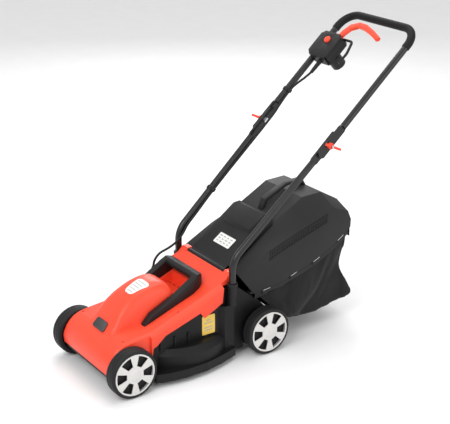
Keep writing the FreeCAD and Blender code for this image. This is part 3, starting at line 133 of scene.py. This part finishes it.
# %% [markdown]
# ## Finishes
# Moulded plastic is never quite flat: it has a fine grain and a slow change of tone, and its
# edges are rounded. One function builds that as nodes. A Noise texture on Object coordinates
# drives a small Bump for the grain, a larger one drives the tone, and a Bevel node rounds the
# shading of edges that are too fine to model.


# %% Helper: a moulded or coated surface
def surface(name, colour, roughness, grain=900, depth=0.15, tone=0.12, metal=0.0, coat=0.0,
            edge=0.0012, tone_scale=9, sheen=0.0, shine=0.5):
    material = bpy.data.materials.new(name)
    material.use_nodes = True
    tree = material.node_tree
    shader = tree.nodes["Principled BSDF"]
    shader.inputs["Metallic"].default_value = metal
    shader.inputs["Specular IOR Level"].default_value = shine
    shader.inputs["Coat Weight"].default_value = coat
    shader.inputs["Coat Roughness"].default_value = 0.25
    shader.inputs["Sheen Weight"].default_value = sheen
    place = tree.nodes.new("ShaderNodeTexCoord")
    slow = tree.nodes.new("ShaderNodeTexNoise")
    slow.inputs["Scale"].default_value = tone_scale
    slow.inputs["Detail"].default_value = 4
    ramp = tree.nodes.new("ShaderNodeValToRGB")
    low = [c * (1 - tone) for c in colour] + [1]
    high = [min(1, c * (1 + tone)) for c in colour] + [1]
    ramp.color_ramp.elements[0].position = 0.35
    ramp.color_ramp.elements[1].position = 0.65
    ramp.color_ramp.elements[0].color = low
    ramp.color_ramp.elements[1].color = high
    tree.links.new(place.outputs["Object"], slow.inputs["Vector"])
    tree.links.new(slow.outputs["Fac"], ramp.inputs["Fac"])
    tree.links.new(ramp.outputs["Color"], shader.inputs["Base Color"])
    rub = tree.nodes.new("ShaderNodeMapRange")
    rub.inputs["To Min"].default_value = max(0.02, roughness - 0.06)
    rub.inputs["To Max"].default_value = min(1, roughness + 0.06)
    tree.links.new(slow.outputs["Fac"], rub.inputs["Value"])
    tree.links.new(rub.outputs["Result"], shader.inputs["Roughness"])
    fine = tree.nodes.new("ShaderNodeTexNoise")
    fine.inputs["Scale"].default_value = grain
    fine.inputs["Detail"].default_value = 2
    tree.links.new(place.outputs["Object"], fine.inputs["Vector"])
    bump = tree.nodes.new("ShaderNodeBump")
    bump.inputs["Strength"].default_value = depth
    bump.inputs["Distance"].default_value = 0.0004
    tree.links.new(fine.outputs["Fac"], bump.inputs["Height"])
    if edge:
        rounded = tree.nodes.new("ShaderNodeBevel")
        rounded.samples = 4
        rounded.inputs["Radius"].default_value = edge
        tree.links.new(rounded.outputs["Normal"], bump.inputs["Normal"])
    tree.links.new(bump.outputs["Normal"], shader.inputs["Normal"])
    return material


# %% The finishes
orange = surface("orange_moulding", (0.88, 0.062, 0.024), 0.42, grain=700, depth=0.10,
                 tone=0.04, coat=0.1, shine=0.35)
black = surface("black_moulding", (0.0085, 0.0085, 0.009), 0.5, grain=650, depth=0.45, tone=0.2,
                shine=0.3)
black_deck = surface("black_deck_moulding", (0.006, 0.006, 0.0064), 0.46, grain=800,
                     depth=0.35, tone=0.2, shine=0.25)
lid_plastic = surface("lid_moulding", (0.0125, 0.0125, 0.013), 0.55, grain=520, depth=0.6,
                      tone=0.16, shine=0.3)
soft_grip = surface("soft_grip", (0.006, 0.006, 0.0065), 0.62, grain=420, depth=0.9, tone=0.2,
                    shine=0.25)
tyre_rubber = surface("tyre_rubber", (0.010, 0.010, 0.0105), 0.6, grain=500, depth=0.5,
                      tone=0.25, shine=0.3)
cap_plastic = surface("cap_plastic", (0.62, 0.605, 0.59), 0.45, grain=600, depth=0.2,
                      tone=0.04)
coated_tube = surface("powder_coated_tube", (0.007, 0.007, 0.0075), 0.3, grain=900, depth=0.25,
                      tone=0.2, coat=0.3, shine=0.35)
bright_steel = surface("bright_steel", (0.55, 0.55, 0.56), 0.32, grain=300, depth=0.2,
                       tone=0.08, metal=1.0)
zinc = surface("zinc_plate", (0.62, 0.63, 0.65), 0.28, grain=420, depth=0.25, tone=0.1,
               metal=1.0)
windings = surface("laminated_core", (0.42, 0.2, 0.1), 0.45, grain=260, depth=0.6, tone=0.3,
                   metal=0.6)
graphite = surface("graphite", (0.03, 0.03, 0.03), 0.7, tone=0.2)
brass = surface("pin_brass", (0.75, 0.55, 0.22), 0.3, tone=0.06, metal=1.0)
blade_steel = surface("blade_coat", (0.05, 0.05, 0.055), 0.4, grain=240, depth=0.4, tone=0.3,
                      metal=0.5)
rubber = surface("lead_rubber", (0.007, 0.007, 0.007), 0.5, grain=600, depth=0.3, tone=0.15,
                 shine=0.3)
badge_black = surface("badge_plate", (0.02, 0.02, 0.022), 0.2, depth=0.05, tone=0.05, coat=0.5)
label_white = surface("label_film", (0.72, 0.72, 0.70), 0.5, depth=0.05, tone=0.03, edge=0)
label_yellow = surface("label_yellow", (0.78, 0.52, 0.09), 0.5, depth=0.05, tone=0.04, edge=0)
label_ink = surface("label_ink", (0.35, 0.35, 0.35), 0.6, depth=0.05, tone=0.1, edge=0)
hole_black = surface("hole_shadow", (0.10, 0.012, 0.006), 0.8, depth=0.0, tone=0.2, edge=0)
floor_paint = surface("floor_paint", (0.86, 0.86, 0.86), 0.7, grain=40, depth=0.02, tone=0.01,
                      edge=0)
floor.data.materials.append(floor_paint)
print("materials:", len(bpy.data.materials))

# %% [markdown]
# A carried-over CAD node keeps its shape, so its finish is put on its object's slots.

# %% Finishes for the CAD nodes
finishes = {
    orange: ["top_cover", "lock_button", "switch_lever", "wing_nut_left", "wing_nut_right"],
    black: ["carry_handle", "switch_box_upper", "switch_box_lower", "switch_module",
            "handle_sockets", "rear_flap", "lead_clip_upper", "lead_clip_lower",
            "lead_gland", "strain_relief", "motor_fan", "blade_holder", "hem_clips"],
    black_deck: ["deck_shell"],
    lid_plastic: ["catcher_lid", "catcher_grip", "catcher_bag"],
    soft_grip: ["grip_sleeve"],
    tyre_rubber: [n for n in nodes if n.startswith("wheel_")],
    cap_plastic: [n for n in nodes if n.startswith("hubcap_")],
    coated_tube: ["upper_handle", "lower_tube_left", "lower_tube_right", "catcher_frame"],
    bright_steel: ["front_axle", "rear_axle", "motor_housing", "motor_bearings",
                   "motor_shaft", "flap_rod", "flap_springs", "button_spring",
                   "lever_spring"],
    zinc: ["front_axle_nuts", "rear_axle_nuts", "wing_bolts", "blade_fasteners",
           "cover_screws"],
    windings: ["stator", "rotor_core"],
    graphite: ["motor_brushes"],
    brass: ["inlet_pins"],
    blade_steel: ["blade"],
    rubber: ["lead_upper", "lead_lower"],
    label_white: ["deck_labels", "flap_label"],
    badge_black: ["badge"],
}
plain = set(nodes)
for finish, names in finishes.items():
    for name in names:
        mesh = nodes[name].data
        mesh.materials.clear()
        mesh.materials.append(finish)
        plain.discard(name)
print("nodes without a finish:", sorted(plain))

# %% [markdown]
# ## Soft edges on the mouldings
# A CAD solid has knife edges, and a moulding never does. A copy of the node's mesh is merged
# into one skin, its coplanar triangles are joined, and the edges that are sharper than a
# chosen angle are bevelled. The copy then stands for the node.


# %% Helper: a softened copy of a CAD node
def softened(node, body, width, material, segments=3, angle=28):
    bm = bmesh.new()
    bm.from_mesh(nodes[node].data)
    bmesh.ops.remove_doubles(bm, verts=bm.verts, dist=2e-5)
    bmesh.ops.dissolve_limit(bm, angle_limit=math.radians(2), verts=bm.verts, edges=bm.edges)
    sharp = [e for e in bm.edges
             if len(e.link_faces) == 2 and e.calc_face_angle(0) > math.radians(angle)]
    round_edges(bm, sharp, width, segments)
    bmesh.ops.triangulate(bm, faces=[f for f in bm.faces if len(f.verts) > 4])
    piece = make_object(node + "_soft", bm, material, smooth_angle=40)
    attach(piece, body)
    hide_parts(node)
    print(piece.name, len(piece.data.polygons), "faces")


# %% Softened pieces
softened("carry_handle", "deck", 0.006, black)
softened("switch_lever", "lever", 0.0025, orange)
softened("catcher_grip", "catcher", 0.004, lid_plastic)
softened("rear_flap", "flap", 0.0015, black, segments=2)
softened("wing_nut_left", "left_wing_nut", 0.0012, orange, segments=2)
softened("wing_nut_right", "right_wing_nut", 0.0012, orange, segments=2)
softened("handle_sockets", "deck", 0.0012, black, segments=2)
softened("top_cover", "deck", 0.0022, orange, segments=3, angle=24)
softened("catcher_lid", "catcher", 0.0045, lid_plastic, segments=3, angle=14)
softened("switch_box_upper", "upper_handle_set", 0.0025, black)
softened("switch_box_lower", "upper_handle_set", 0.0025, black)
for hand in ("left", "right"):
    for end in ("front", "rear"):
        softened("hubcap_%s_%s" % (end, hand), "%s_%s_wheel" % (end, hand), 0.0009,
                 cap_plastic, segments=2)

# %% [markdown]
# ## Tyres
# The wheel is one turned moulding: a tread, a web and a hub. Its outline is drawn once as a
# half section and spun about the axle, which gives round shoulders that a bevel would have to
# guess. The two fine grooves in the tread are part of the outline.

# %% The wheel's half section: distance out from its inner side, and radius, in metres
wheel_section = [(0, 0.0052), (0.032, 0.0052), (0.032, 0.012), (0.029, 0.0125),
                 (0.029, 0.0602), (0.0392, 0.0602), (0.04, 0.0612), (0.04, 0.0638),
                 (0.0388, 0.0668), (0.0362, 0.0690), (0.033, 0.0699), (0.0285, 0.07),
                 (0.0278, 0.0692), (0.0262, 0.0692), (0.0255, 0.07), (0.0145, 0.07),
                 (0.0138, 0.0692), (0.0122, 0.0692), (0.0115, 0.07), (0.007, 0.0699),
                 (0.0038, 0.0690), (0.0012, 0.0668), (0, 0.0638), (0, 0.0575),
                 (0.001, 0.0562), (0.024, 0.0562), (0.024, 0.012), (0, 0.012)]
turn_steps = 96


# %% Tyres
def tyre(name, body, side, node):
    low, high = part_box(node)
    middle = (low + high) / 2
    inner = low.x if side > 0 else high.x
    bm = bmesh.new()
    verts = [bm.verts.new((inner + side * x, middle.y, middle.z + r)) for x, r in wheel_section]
    for a, b in zip(verts, verts[1:] + verts[:1]):
        bm.edges.new((a, b))
    bmesh.ops.spin(bm, geom=bm.verts[:] + bm.edges[:], cent=(inner, middle.y, middle.z),
                   axis=(1, 0, 0), dvec=(0, 0, 0), angle=2 * math.pi, steps=turn_steps,
                   use_merge=True)
    bmesh.ops.remove_doubles(bm, verts=bm.verts, dist=1e-6)
    bmesh.ops.recalc_face_normals(bm, faces=bm.faces)
    piece = make_object(name, bm, tyre_rubber, smooth_angle=32)
    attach(piece, body)
    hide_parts(node)


for hand, side in (("left", 1), ("right", -1)):
    for end in ("front", "rear"):
        tyre("tyre_%s_%s" % (end, hand), "%s_%s_wheel" % (end, hand), side,
             "wheel_%s_%s" % (end, hand))
print("tyres spun")

# %% [markdown]
# ## The cloth bag
# The bag is sewn from two side panels and one strip that runs from the mouth round the bottom
# to the lid. A closed block with the CAD outline is rounded and remeshed into even squares,
# its top and mouth are cut open, and Cloth lets the panels settle between the held hems.

# %% Bag: the outline and its closed block
outline = [(-0.0405, 0.1815), (0.010, 0.1895), (0.061, 0.1975), (0.117, 0.2145),
           (0.183, 0.2355), (0.246, 0.2685), (0.302, 0.3035), (0.3045, 0.275),
           (0.303, 0.246), (0.2935, 0.225), (0.2905, 0.205), (0.297, 0.173), (0.311, 0.149),
           (0.327, 0.127), (0.3435, 0.099), (0.341, 0.081), (0.318, 0.071), (0.287, 0.0635),
           (0.248, 0.0565), (0.210, 0.0515), (0.157, 0.0495), (0.115, 0.0575),
           (0.085, 0.0695), (0.058, 0.0855)]
half_width = 0.129
seam_radius = 0.014
bm = bmesh.new()
ring = [bm.verts.new((half_width, y, z)) for y, z in outline]
side_face = bm.faces.new(ring)
moved = bmesh.ops.extrude_face_region(bm, geom=[side_face])
bmesh.ops.translate(bm, verts=new_points(moved), vec=(-2 * half_width, 0, 0))
bmesh.ops.recalc_face_normals(bm, faces=bm.faces)


def under_hem(v):
    """True on the seam edges that are rounded, and not on the hem or the mouth."""
    return v.co.z < 0.28 and not (v.co.y < 0.25 and v.co.z > 0.18) and v.co.y > 0.07


seams = [e for e in bm.edges if abs(e.verts[0].co.x - e.verts[1].co.x) < 1e-6
         and all(under_hem(v) for v in e.verts)]
round_edges(bm, seams, seam_radius, segments=3)
bag = make_object("bag_cloth", bm, smooth_angle=None)
print("bag block", [round(c, 3) for c in bag.dimensions])

# %% Bag: even squares, then the openings
cloth_square = 0.0065
remesh = bag.modifiers.new("even", "REMESH")
remesh.mode = "VOXEL"
remesh.voxel_size = cloth_square
bpy.context.view_layer.update()
even = bpy.data.meshes.new_from_object(bag.evaluated_get(bpy.context.evaluated_depsgraph_get()))
bag.modifiers.clear()
bag.data = even
bm = bmesh.new()
bm.from_mesh(even)


def hem_height(y):
    """The height of the bag's upper edge at y."""
    for (y0, z0), (y1, z1) in zip(outline[:6], outline[1:7]):
        if y0 <= y <= y1:
            return z0 + (z1 - z0) * (y - y0) / (y1 - y0)
    return outline[6][1] if y > 0.3 else outline[0][1]


def mouth_side(co):
    """How far a point is in front of the mouth's edge."""
    (y0, z0), (y1, z1) = outline[-1], outline[0]
    return ((co.y - y0) * (z1 - z0) - (co.z - z0) * (y1 - y0)) / math.hypot(y1 - y0, z1 - z0)


open_faces = []
for face in bm.faces:
    middle = face.calc_center_median()
    at_top = middle.z > hem_height(middle.y) - 0.004 and face.normal.z > 0.5
    at_mouth = mouth_side(middle) < 0.0045 and face.normal.y < -0.4
    if at_top or at_mouth:
        open_faces.append(face)
bmesh.ops.delete(bm, geom=open_faces, context="FACES")
loose = [v for v in bm.verts if not v.link_faces]
bmesh.ops.delete(bm, geom=loose, context="VERTS")
flat_area = sum(f.calc_area() for f in bm.faces)
slack = 0.0035
for v in bm.verts:
    if not v.is_boundary:
        wave = noise.noise(v.co * 16 + Vector((3, 1, 7))) * 0.004
        wave += noise.noise(v.co * 42) * 0.0012
        v.co += v.normal * (wave - slack)
bm.to_mesh(even)
rim = [v.index for v in bm.verts if v.is_boundary]
near_rim = [v.index for v in bm.verts
            if v.co.z > hem_height(v.co.y) - 0.012 or mouth_side(v.co) < 0.012]
bm.free()
print("bag cloth:", len(even.vertices), "points, area", round(flat_area, 3))

# %% Bag: let the cloth settle
# No point may move farther than this from its cut, nor past these sides and this height.
cloth_frames = 20
furthest = 0.009
widest, lowest = 0.1335, 0.046
group = bag.vertex_groups.new(name="held")
group.add(sorted(set(rim + near_rim)), 1.0, "REPLACE")
start = [v.co.copy() for v in even.vertices]
cloth = bag.modifiers.new("settle", "CLOTH")
settings = cloth.settings
settings.quality = 6
settings.mass = 0.15
settings.tension_stiffness = 20
settings.compression_stiffness = 8
settings.shear_stiffness = 6
settings.bending_stiffness = 0.6
settings.use_pressure = True
settings.uniform_pressure_force = 0.6
settings.vertex_group_mass = "held"
settings.effector_weights.gravity = 0.35
cloth.collision_settings.use_self_collision = False
cloth.point_cache.frame_start = 1
cloth.point_cache.frame_end = 22
for step in range(1, cloth_frames + 1):
    scene.frame_set(step)
graph = bpy.context.evaluated_depsgraph_get()
settled = bpy.data.meshes.new_from_object(bag.evaluated_get(graph))
bag.modifiers.clear()
for v, before in zip(settled.vertices, start):
    shift = v.co - before
    if shift.length > furthest:
        v.co = before + shift.normalized() * furthest
    v.co.x = max(-widest, min(widest, v.co.x))
    v.co.z = max(lowest, v.co.z)
bag.data = settled
scene.frame_set(1)
print("bag settled, box", [round(c, 3) for c in bag.dimensions])

# %% Bag: thickness
thick = bag.modifiers.new("thick", "SOLIDIFY")
thick.thickness = 0.0008
thick.offset = 0
smooth = bag.modifiers.new("round", "SUBSURF")
smooth.levels = 1
smooth.render_levels = 1


# %% [markdown]
# The bag is a coarse plain weave. An image would need unwrapping and would blur close up, so
# two Wave textures, turned against each other, draw the threads, and their height drives a
# Bump.


# %% Helper: woven cloth
def woven_cloth(name, colour, thread, roughness):
    """Plain weave: two bands of threads at right angles, and the small holes between them."""
    material = surface(name, colour, roughness, grain=300, depth=0.1, tone=0.22, edge=0,
                       tone_scale=14, sheen=0.12, shine=0.2)
    tree = material.node_tree
    shader = tree.nodes["Principled BSDF"]
    place = tree.nodes.new("ShaderNodeTexCoord")
    height = None
    for turn in ((0, 0, math.radians(45)), (math.radians(90), 0, math.radians(45))):
        mapping = tree.nodes.new("ShaderNodeMapping")
        mapping.inputs["Rotation"].default_value = turn
        wave = tree.nodes.new("ShaderNodeTexWave")
        wave.inputs["Scale"].default_value = thread
        wave.inputs["Distortion"].default_value = 0.6
        wave.bands_direction = "X" if height is None else "Z"
        tree.links.new(place.outputs["Object"], mapping.inputs["Vector"])
        tree.links.new(mapping.outputs["Vector"], wave.inputs["Vector"])
        if height is None:
            height = wave.outputs["Fac"]
        else:
            both = tree.nodes.new("ShaderNodeMath")
            both.operation = "MAXIMUM"
            tree.links.new(height, both.inputs[0])
            tree.links.new(wave.outputs["Fac"], both.inputs[1])
            height = both.outputs["Value"]
    bump = tree.nodes.new("ShaderNodeBump")
    bump.inputs["Strength"].default_value = 0.5
    bump.inputs["Distance"].default_value = 0.0006
    tree.links.new(height, bump.inputs["Height"])
    tree.links.new(bump.outputs["Normal"], shader.inputs["Normal"])
    return material


# %% [markdown]
# The cloth's flat size is that of one piece with a wing on each side: the strip round the
# bottom and the rear is as wide as the bag, and each wing folds up to reach the hem. The flat
# area is less than its rectangle, because the wings' corners are cut away.

# %% Bag: cloth finish and place
bag_cloth = woven_cloth("bag_weave", (0.0055, 0.0055, 0.006), 160, 0.72)
bag.data.materials.clear()
bag.data.materials.append(bag_cloth)
bag.data.shade_smooth()
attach(bag, "catcher")
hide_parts("catcher_bag")
print("bag finish:", bag_cloth.name)

# %% [markdown]
# ## Hem band and louvres
# The bag's hem is a folded plastic binding that clips to the lid. It follows the lid's lower
# edge, so it is drawn as a row of points beside that edge and given height and thickness by
# two extrusions. The louvres are upright bars in a shallow frame under the lid's crease.


# %% Helper: a band along a line of points
def band(bm, points, drop, thickness, side):
    """A strip that hangs by drop below its points, with its thickness pointing outwards."""
    verts = [bm.verts.new(p) for p in points]
    edges = [bm.edges.new(pair) for pair in zip(verts, verts[1:])]
    down = bmesh.ops.extrude_edge_only(bm, edges=edges)
    bmesh.ops.translate(bm, verts=new_points(down), vec=(0, 0, -drop))
    faces = [f for f in down["geom"] if isinstance(f, bmesh.types.BMFace)]
    out = bmesh.ops.extrude_face_region(bm, geom=faces)
    bmesh.ops.translate(bm, verts=new_points(out), vec=(side * thickness, 0, 0))
    bmesh.ops.recalc_face_normals(bm, faces=bm.faces)


# %% Hem band
hem_line = [(-0.038, 0.1835), (0.004, 0.1905), (0.012, 0.1975), (0.061, 0.1995),
            (0.072, 0.2055), (0.117, 0.2165), (0.183, 0.2375), (0.246, 0.2705),
            (0.300, 0.3065)]
bm = bmesh.new()
for side in (1, -1):
    band(bm, [(side * 0.1312, y, z) for y, z in hem_line], 0.020, 0.0022, side)
rear = bmesh.ops.create_cube(bm, size=1)
bmesh.ops.scale(bm, verts=rear["verts"], vec=(0.264, 0.0022, 0.030))
bmesh.ops.translate(bm, verts=rear["verts"], vec=(0, 0.3062, 0.2935))
edges = [e for e in bm.edges if len(e.link_faces) == 2 and e.calc_face_angle(0) > 1.2]
round_edges(bm, edges, 0.0006)
hem = make_object("bag_hem", bm, lid_plastic)
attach(hem, "catcher")
print("hem band", [round(c, 3) for c in hem.dimensions])

# %% [markdown]
# Four clips a side hold the hem to the lid. Each is a small moulded tab with a bright wire
# across it. One cube and one thin cylinder are made for each, then tilted to the hem's slope.

# %% Clip tabs and their wires on the hem
tabs = bmesh.new()
wires = bmesh.new()
tab_places = ((0.001, 0.186, 0.13), (0.099, 0.2085, 0.36), (0.181, 0.2335, 0.42),
              (0.270, 0.2815, 0.58))
for side in (1, -1):
    for y, z, rise in tab_places:
        tilt = Matrix.Rotation(rise, 4, "X")
        spot = Matrix.Translation((side * 0.1345, y, z)) @ tilt
        tab = bmesh.ops.create_cube(tabs, size=1)
        bmesh.ops.scale(tabs, verts=tab["verts"], vec=(0.003, 0.034, 0.019))
        bmesh.ops.transform(tabs, matrix=spot, verts=tab["verts"])
        wire = bmesh.ops.create_cone(wires, cap_ends=True, segments=10, radius1=0.0011,
                                     radius2=0.0011, depth=0.024)
        turn = Matrix.Rotation(math.pi / 2, 4, "X")
        lift = Matrix.Translation((side * 0.0022, 0, 0.0015))
        bmesh.ops.transform(wires, matrix=spot @ lift @ turn, verts=wire["verts"])
round_edges(tabs, tabs.edges[:], 0.0009)
tabs = make_object("hem_tabs", tabs, black)
wires = make_object("hem_tab_wires", wires, bright_steel)
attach(tabs, "catcher")
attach(wires, "catcher")
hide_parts("hem_clips")
print("clip tabs:", 2 * len(tab_places))

# %% Louvres under the lid's crease
bars = bmesh.new()
crease = [(-0.009, 0.3035), (0.078, 0.3345), (0.150, 0.3575), (0.222, 0.3805)]
lid_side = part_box("catcher_lid")[1].x
louvre_count, louvre_pitch = 34, 0.0061


def crease_height(y):
    for (y0, z0), (y1, z1) in zip(crease, crease[1:]):
        if y <= y1:
            return z0 + (z1 - z0) * (y - y0) / (y1 - y0)
    return crease[-1][1]


for side in (1, -1):
    for step in range(louvre_count):
        y = 0.012 + louvre_pitch * step
        bar = bmesh.ops.create_cube(bars, size=1)
        bmesh.ops.scale(bars, verts=bar["verts"], vec=(0.0022, 0.0028, 0.021))
        spot = (side * (lid_side + 0.0004), y, crease_height(y) - 0.021)
        bmesh.ops.translate(bars, verts=bar["verts"], vec=spot)
louvres = make_object("lid_louvres", bars, lid_plastic, smooth_angle=None)
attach(louvres, "catcher")
rails = bmesh.new()
for side in (1, -1):
    x = side * (lid_side - 0.0006)
    for offset in (-0.0085, -0.0315):
        points = [(x, y, crease_height(y) + offset) for y in (0.006, 0.078, 0.15, 0.2165)]
        band(rails, points, 0.0022, 0.0026, side)
rails = make_object("louvre_rails", rails, lid_plastic)
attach(rails, "catcher")
print("louvres:", len(louvres.data.polygons) // 6)

# %% [markdown]
# ## Badge, labels and the cover's small marks
# A label is a thin film that lies on whatever is under it. Each one starts as a small grid
# with rounded corners, and every point is dropped on to the cover along one direction with a
# ray, so the film follows the curve below. The hood's label is wider at the rear than at the
# front, which a taper gives. The print is only a few plain grey bars, with no letters.


# %% Helper: film that lies on a surface
def skin_tree(name):
    bm = bmesh.new()
    bm.from_mesh(nodes[name].data)
    tree = BVHTree.FromBMesh(bm)
    bm.free()
    return tree


def film(name, spot, right, up, size, onto, material, lift=0.0004, corner=0.12,
         cells=(16, 12), taper=0.0):
    """A thin label of a given size, laid on a surface from its outer side."""
    right, up = Vector(right).normalized(), Vector(up).normalized()
    out = right.cross(up).normalized()
    bm = bmesh.new()
    bmesh.ops.create_grid(bm, x_segments=cells[0], y_segments=cells[1], size=0.5)
    wide, tall = size
    radius = corner * min(size)
    for v in bm.verts:
        x, y = v.co.x * wide, v.co.y * tall
        over_x = abs(x) - (wide / 2 - radius)
        over_y = abs(y) - (tall / 2 - radius)
        if over_x > 0 and over_y > 0:
            reach = math.hypot(over_x, over_y)
            pull = radius / max(reach, 1e-9) * max(over_x, over_y) / radius
            x = math.copysign(wide / 2 - radius + over_x * pull, x)
            y = math.copysign(tall / 2 - radius + over_y * pull, y)
        x *= 1 + taper * y / tall
        start = Vector(spot) + right * x + up * y + out * 0.05
        hit = onto.ray_cast(start, -out, 0.12)
        ground = hit[0] if hit[0] is not None else start - out * 0.05
        v.co = ground + out * lift
    bmesh.ops.recalc_face_normals(bm, faces=bm.faces)
    if bm.faces[:][0].normal.dot(out) < 0:
        bmesh.ops.reverse_faces(bm, faces=bm.faces)
    return make_object(name, bm, material)


# %% Labels
cover_skin = skin_tree("top_cover")
deck_skin = skin_tree("deck_shell")
flap_skin = skin_tree("rear_flap")
hood_spot, hood_up = Vector((0.010, -0.354, 0.241)), Vector((0, 0.94, 0.34))
hood_label = film("hood_label", hood_spot, (1, 0, 0), hood_up, (0.046, 0.062), cover_skin,
                  label_white, corner=0.28, cells=(14, 16), taper=0.45)
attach(hood_label, "deck")
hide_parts("deck_labels")
side_x, side_y = 0.125, -0.1915
side_label = film("side_label", (side_x, side_y, 0.1245), (0, 1, 0), (0, 0, 1),
                  (0.043, 0.058), deck_skin, label_yellow, corner=0.06)
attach(side_label, "deck")
flap_low, flap_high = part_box("flap_label")
flap_middle = (flap_low + flap_high) / 2
flap_up = Vector((0, 0.815, 0.579))
flap_label = film("flap_label_film", flap_middle, (1, 0, 0), flap_up, (0.076, 0.036),
                  flap_skin, label_white, corner=0.05)
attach(flap_label, "flap")
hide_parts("flap_label")

# %% The bars printed on the labels
prints = []
for row in range(3):
    for column in range(4):
        spot = flap_middle + Vector((-0.026 + 0.0165 * column, 0, 0)) + flap_up * (
            0.010 - 0.0095 * row)
        wide = 0.011 - 0.002 * ((row + column) % 3)
        prints.append(("flap_print_%d_%d" % (row, column), spot, (1, 0, 0), flap_up,
                       (wide, 0.0035), flap_skin, "flap"))
for row in range(5):
    spot = hood_spot + hood_up * (0.020 - 0.0105 * row)
    wide = (0.040, 0.036, 0.034, 0.030, 0.026)[row]
    prints.append(("hood_print_%d" % row, spot, (1, 0, 0), hood_up, (wide, 0.0022),
                   cover_skin, "deck"))
for row, (height, wide) in enumerate(((0.139, 0.014), (0.131, 0.030), (0.117, 0.030),
                                      (0.109, 0.024))):
    prints.append(("side_print_%d" % row, (side_x, side_y, height), (0, 1, 0), (0, 0, 1),
                   (wide, 0.003), deck_skin, "deck"))
for name, spot, right, up, size, onto, body in prints:
    mark = film(name, spot, right, up, size, onto, label_ink, lift=0.0006, cells=(6, 2))
    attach(mark, body)
print("labels laid, bars:", len(prints))

# %% [markdown]
# The badge is a thin eight-sided plate with a raised edge. A circle of eight points gives the
# corners, one extrusion the thickness, and an inset sinks the face inside its edge.

# %% Badge
bm = bmesh.new()
bmesh.ops.create_circle(bm, cap_ends=True, segments=8, radius=1)
corners = [(30, -10), (24, -15), (-24, -15), (-30, -10), (-27, 11), (-22, 15), (22, 15),
           (27, 11)]
for v, (x, y) in zip(bm.verts, corners):
    v.co = Vector((x / 1000, y / 1000, 0))
face = bm.faces[:][0]
face.normal_update()
if face.normal.z < 0:
    bmesh.ops.reverse_faces(bm, faces=[face])
up = bmesh.ops.extrude_face_region(bm, geom=[face])
bmesh.ops.translate(bm, verts=new_points(up), vec=(0, 0, 0.0032))
top_face = [f for f in up["geom"] if isinstance(f, bmesh.types.BMFace)]
bmesh.ops.inset_region(bm, faces=top_face, thickness=0.0018, depth=-0.0006)
bmesh.ops.recalc_face_normals(bm, faces=bm.faces)
edges = [e for e in bm.edges if len(e.link_faces) == 2 and e.calc_face_angle(0) > 0.5]
round_edges(bm, edges, 0.0005)
tilt = Matrix.Rotation(math.radians(48.1), 4, "X")
bmesh.ops.transform(bm, matrix=Matrix.Translation((0, -0.46307, 0.15057)) @ tilt,
                    verts=bm.verts)
badge = make_object("badge_plate", bm, badge_black)
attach(badge, "deck")
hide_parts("badge")
print("badge", [round(c, 3) for c in badge.dimensions])

# %% [markdown]
# The cover lets air to the motor through small holes on both flanks of the hood. They could be
# cut with a Boolean, which is slow for so many and frays the cover's skin. Each is a thin dark
# disc instead, put where a ray dropped from above meets the cover and turned to face outwards.

# %% Air holes in the cover
hole_radius = 0.0013
holes = bmesh.new()
for side in (1, -1):
    for row in range(4):
        for column in range(7):
            x = side * (0.070 + 0.0075 * row)
            y = -0.405 + 0.0085 * column + 0.003 * row
            hit = cover_skin.ray_cast(Vector((x, y, 0.4)), Vector((0, 0, -1)), 0.4)
            if hit[0] is None:
                continue
            dot = bmesh.ops.create_cone(holes, cap_ends=True, segments=8,
                                        radius1=hole_radius, radius2=hole_radius,
                                        depth=0.0006)
            turn = Vector((0, 0, 1)).rotation_difference(hit[1]).to_matrix().to_4x4()
            bmesh.ops.transform(holes, matrix=Matrix.Translation(hit[0]) @ turn,
                                verts=dot["verts"])
holes = make_object("cover_air_holes", holes, hole_black, smooth_angle=None)
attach(holes, "deck")
print("air holes:", len(holes.data.polygons) // 10)
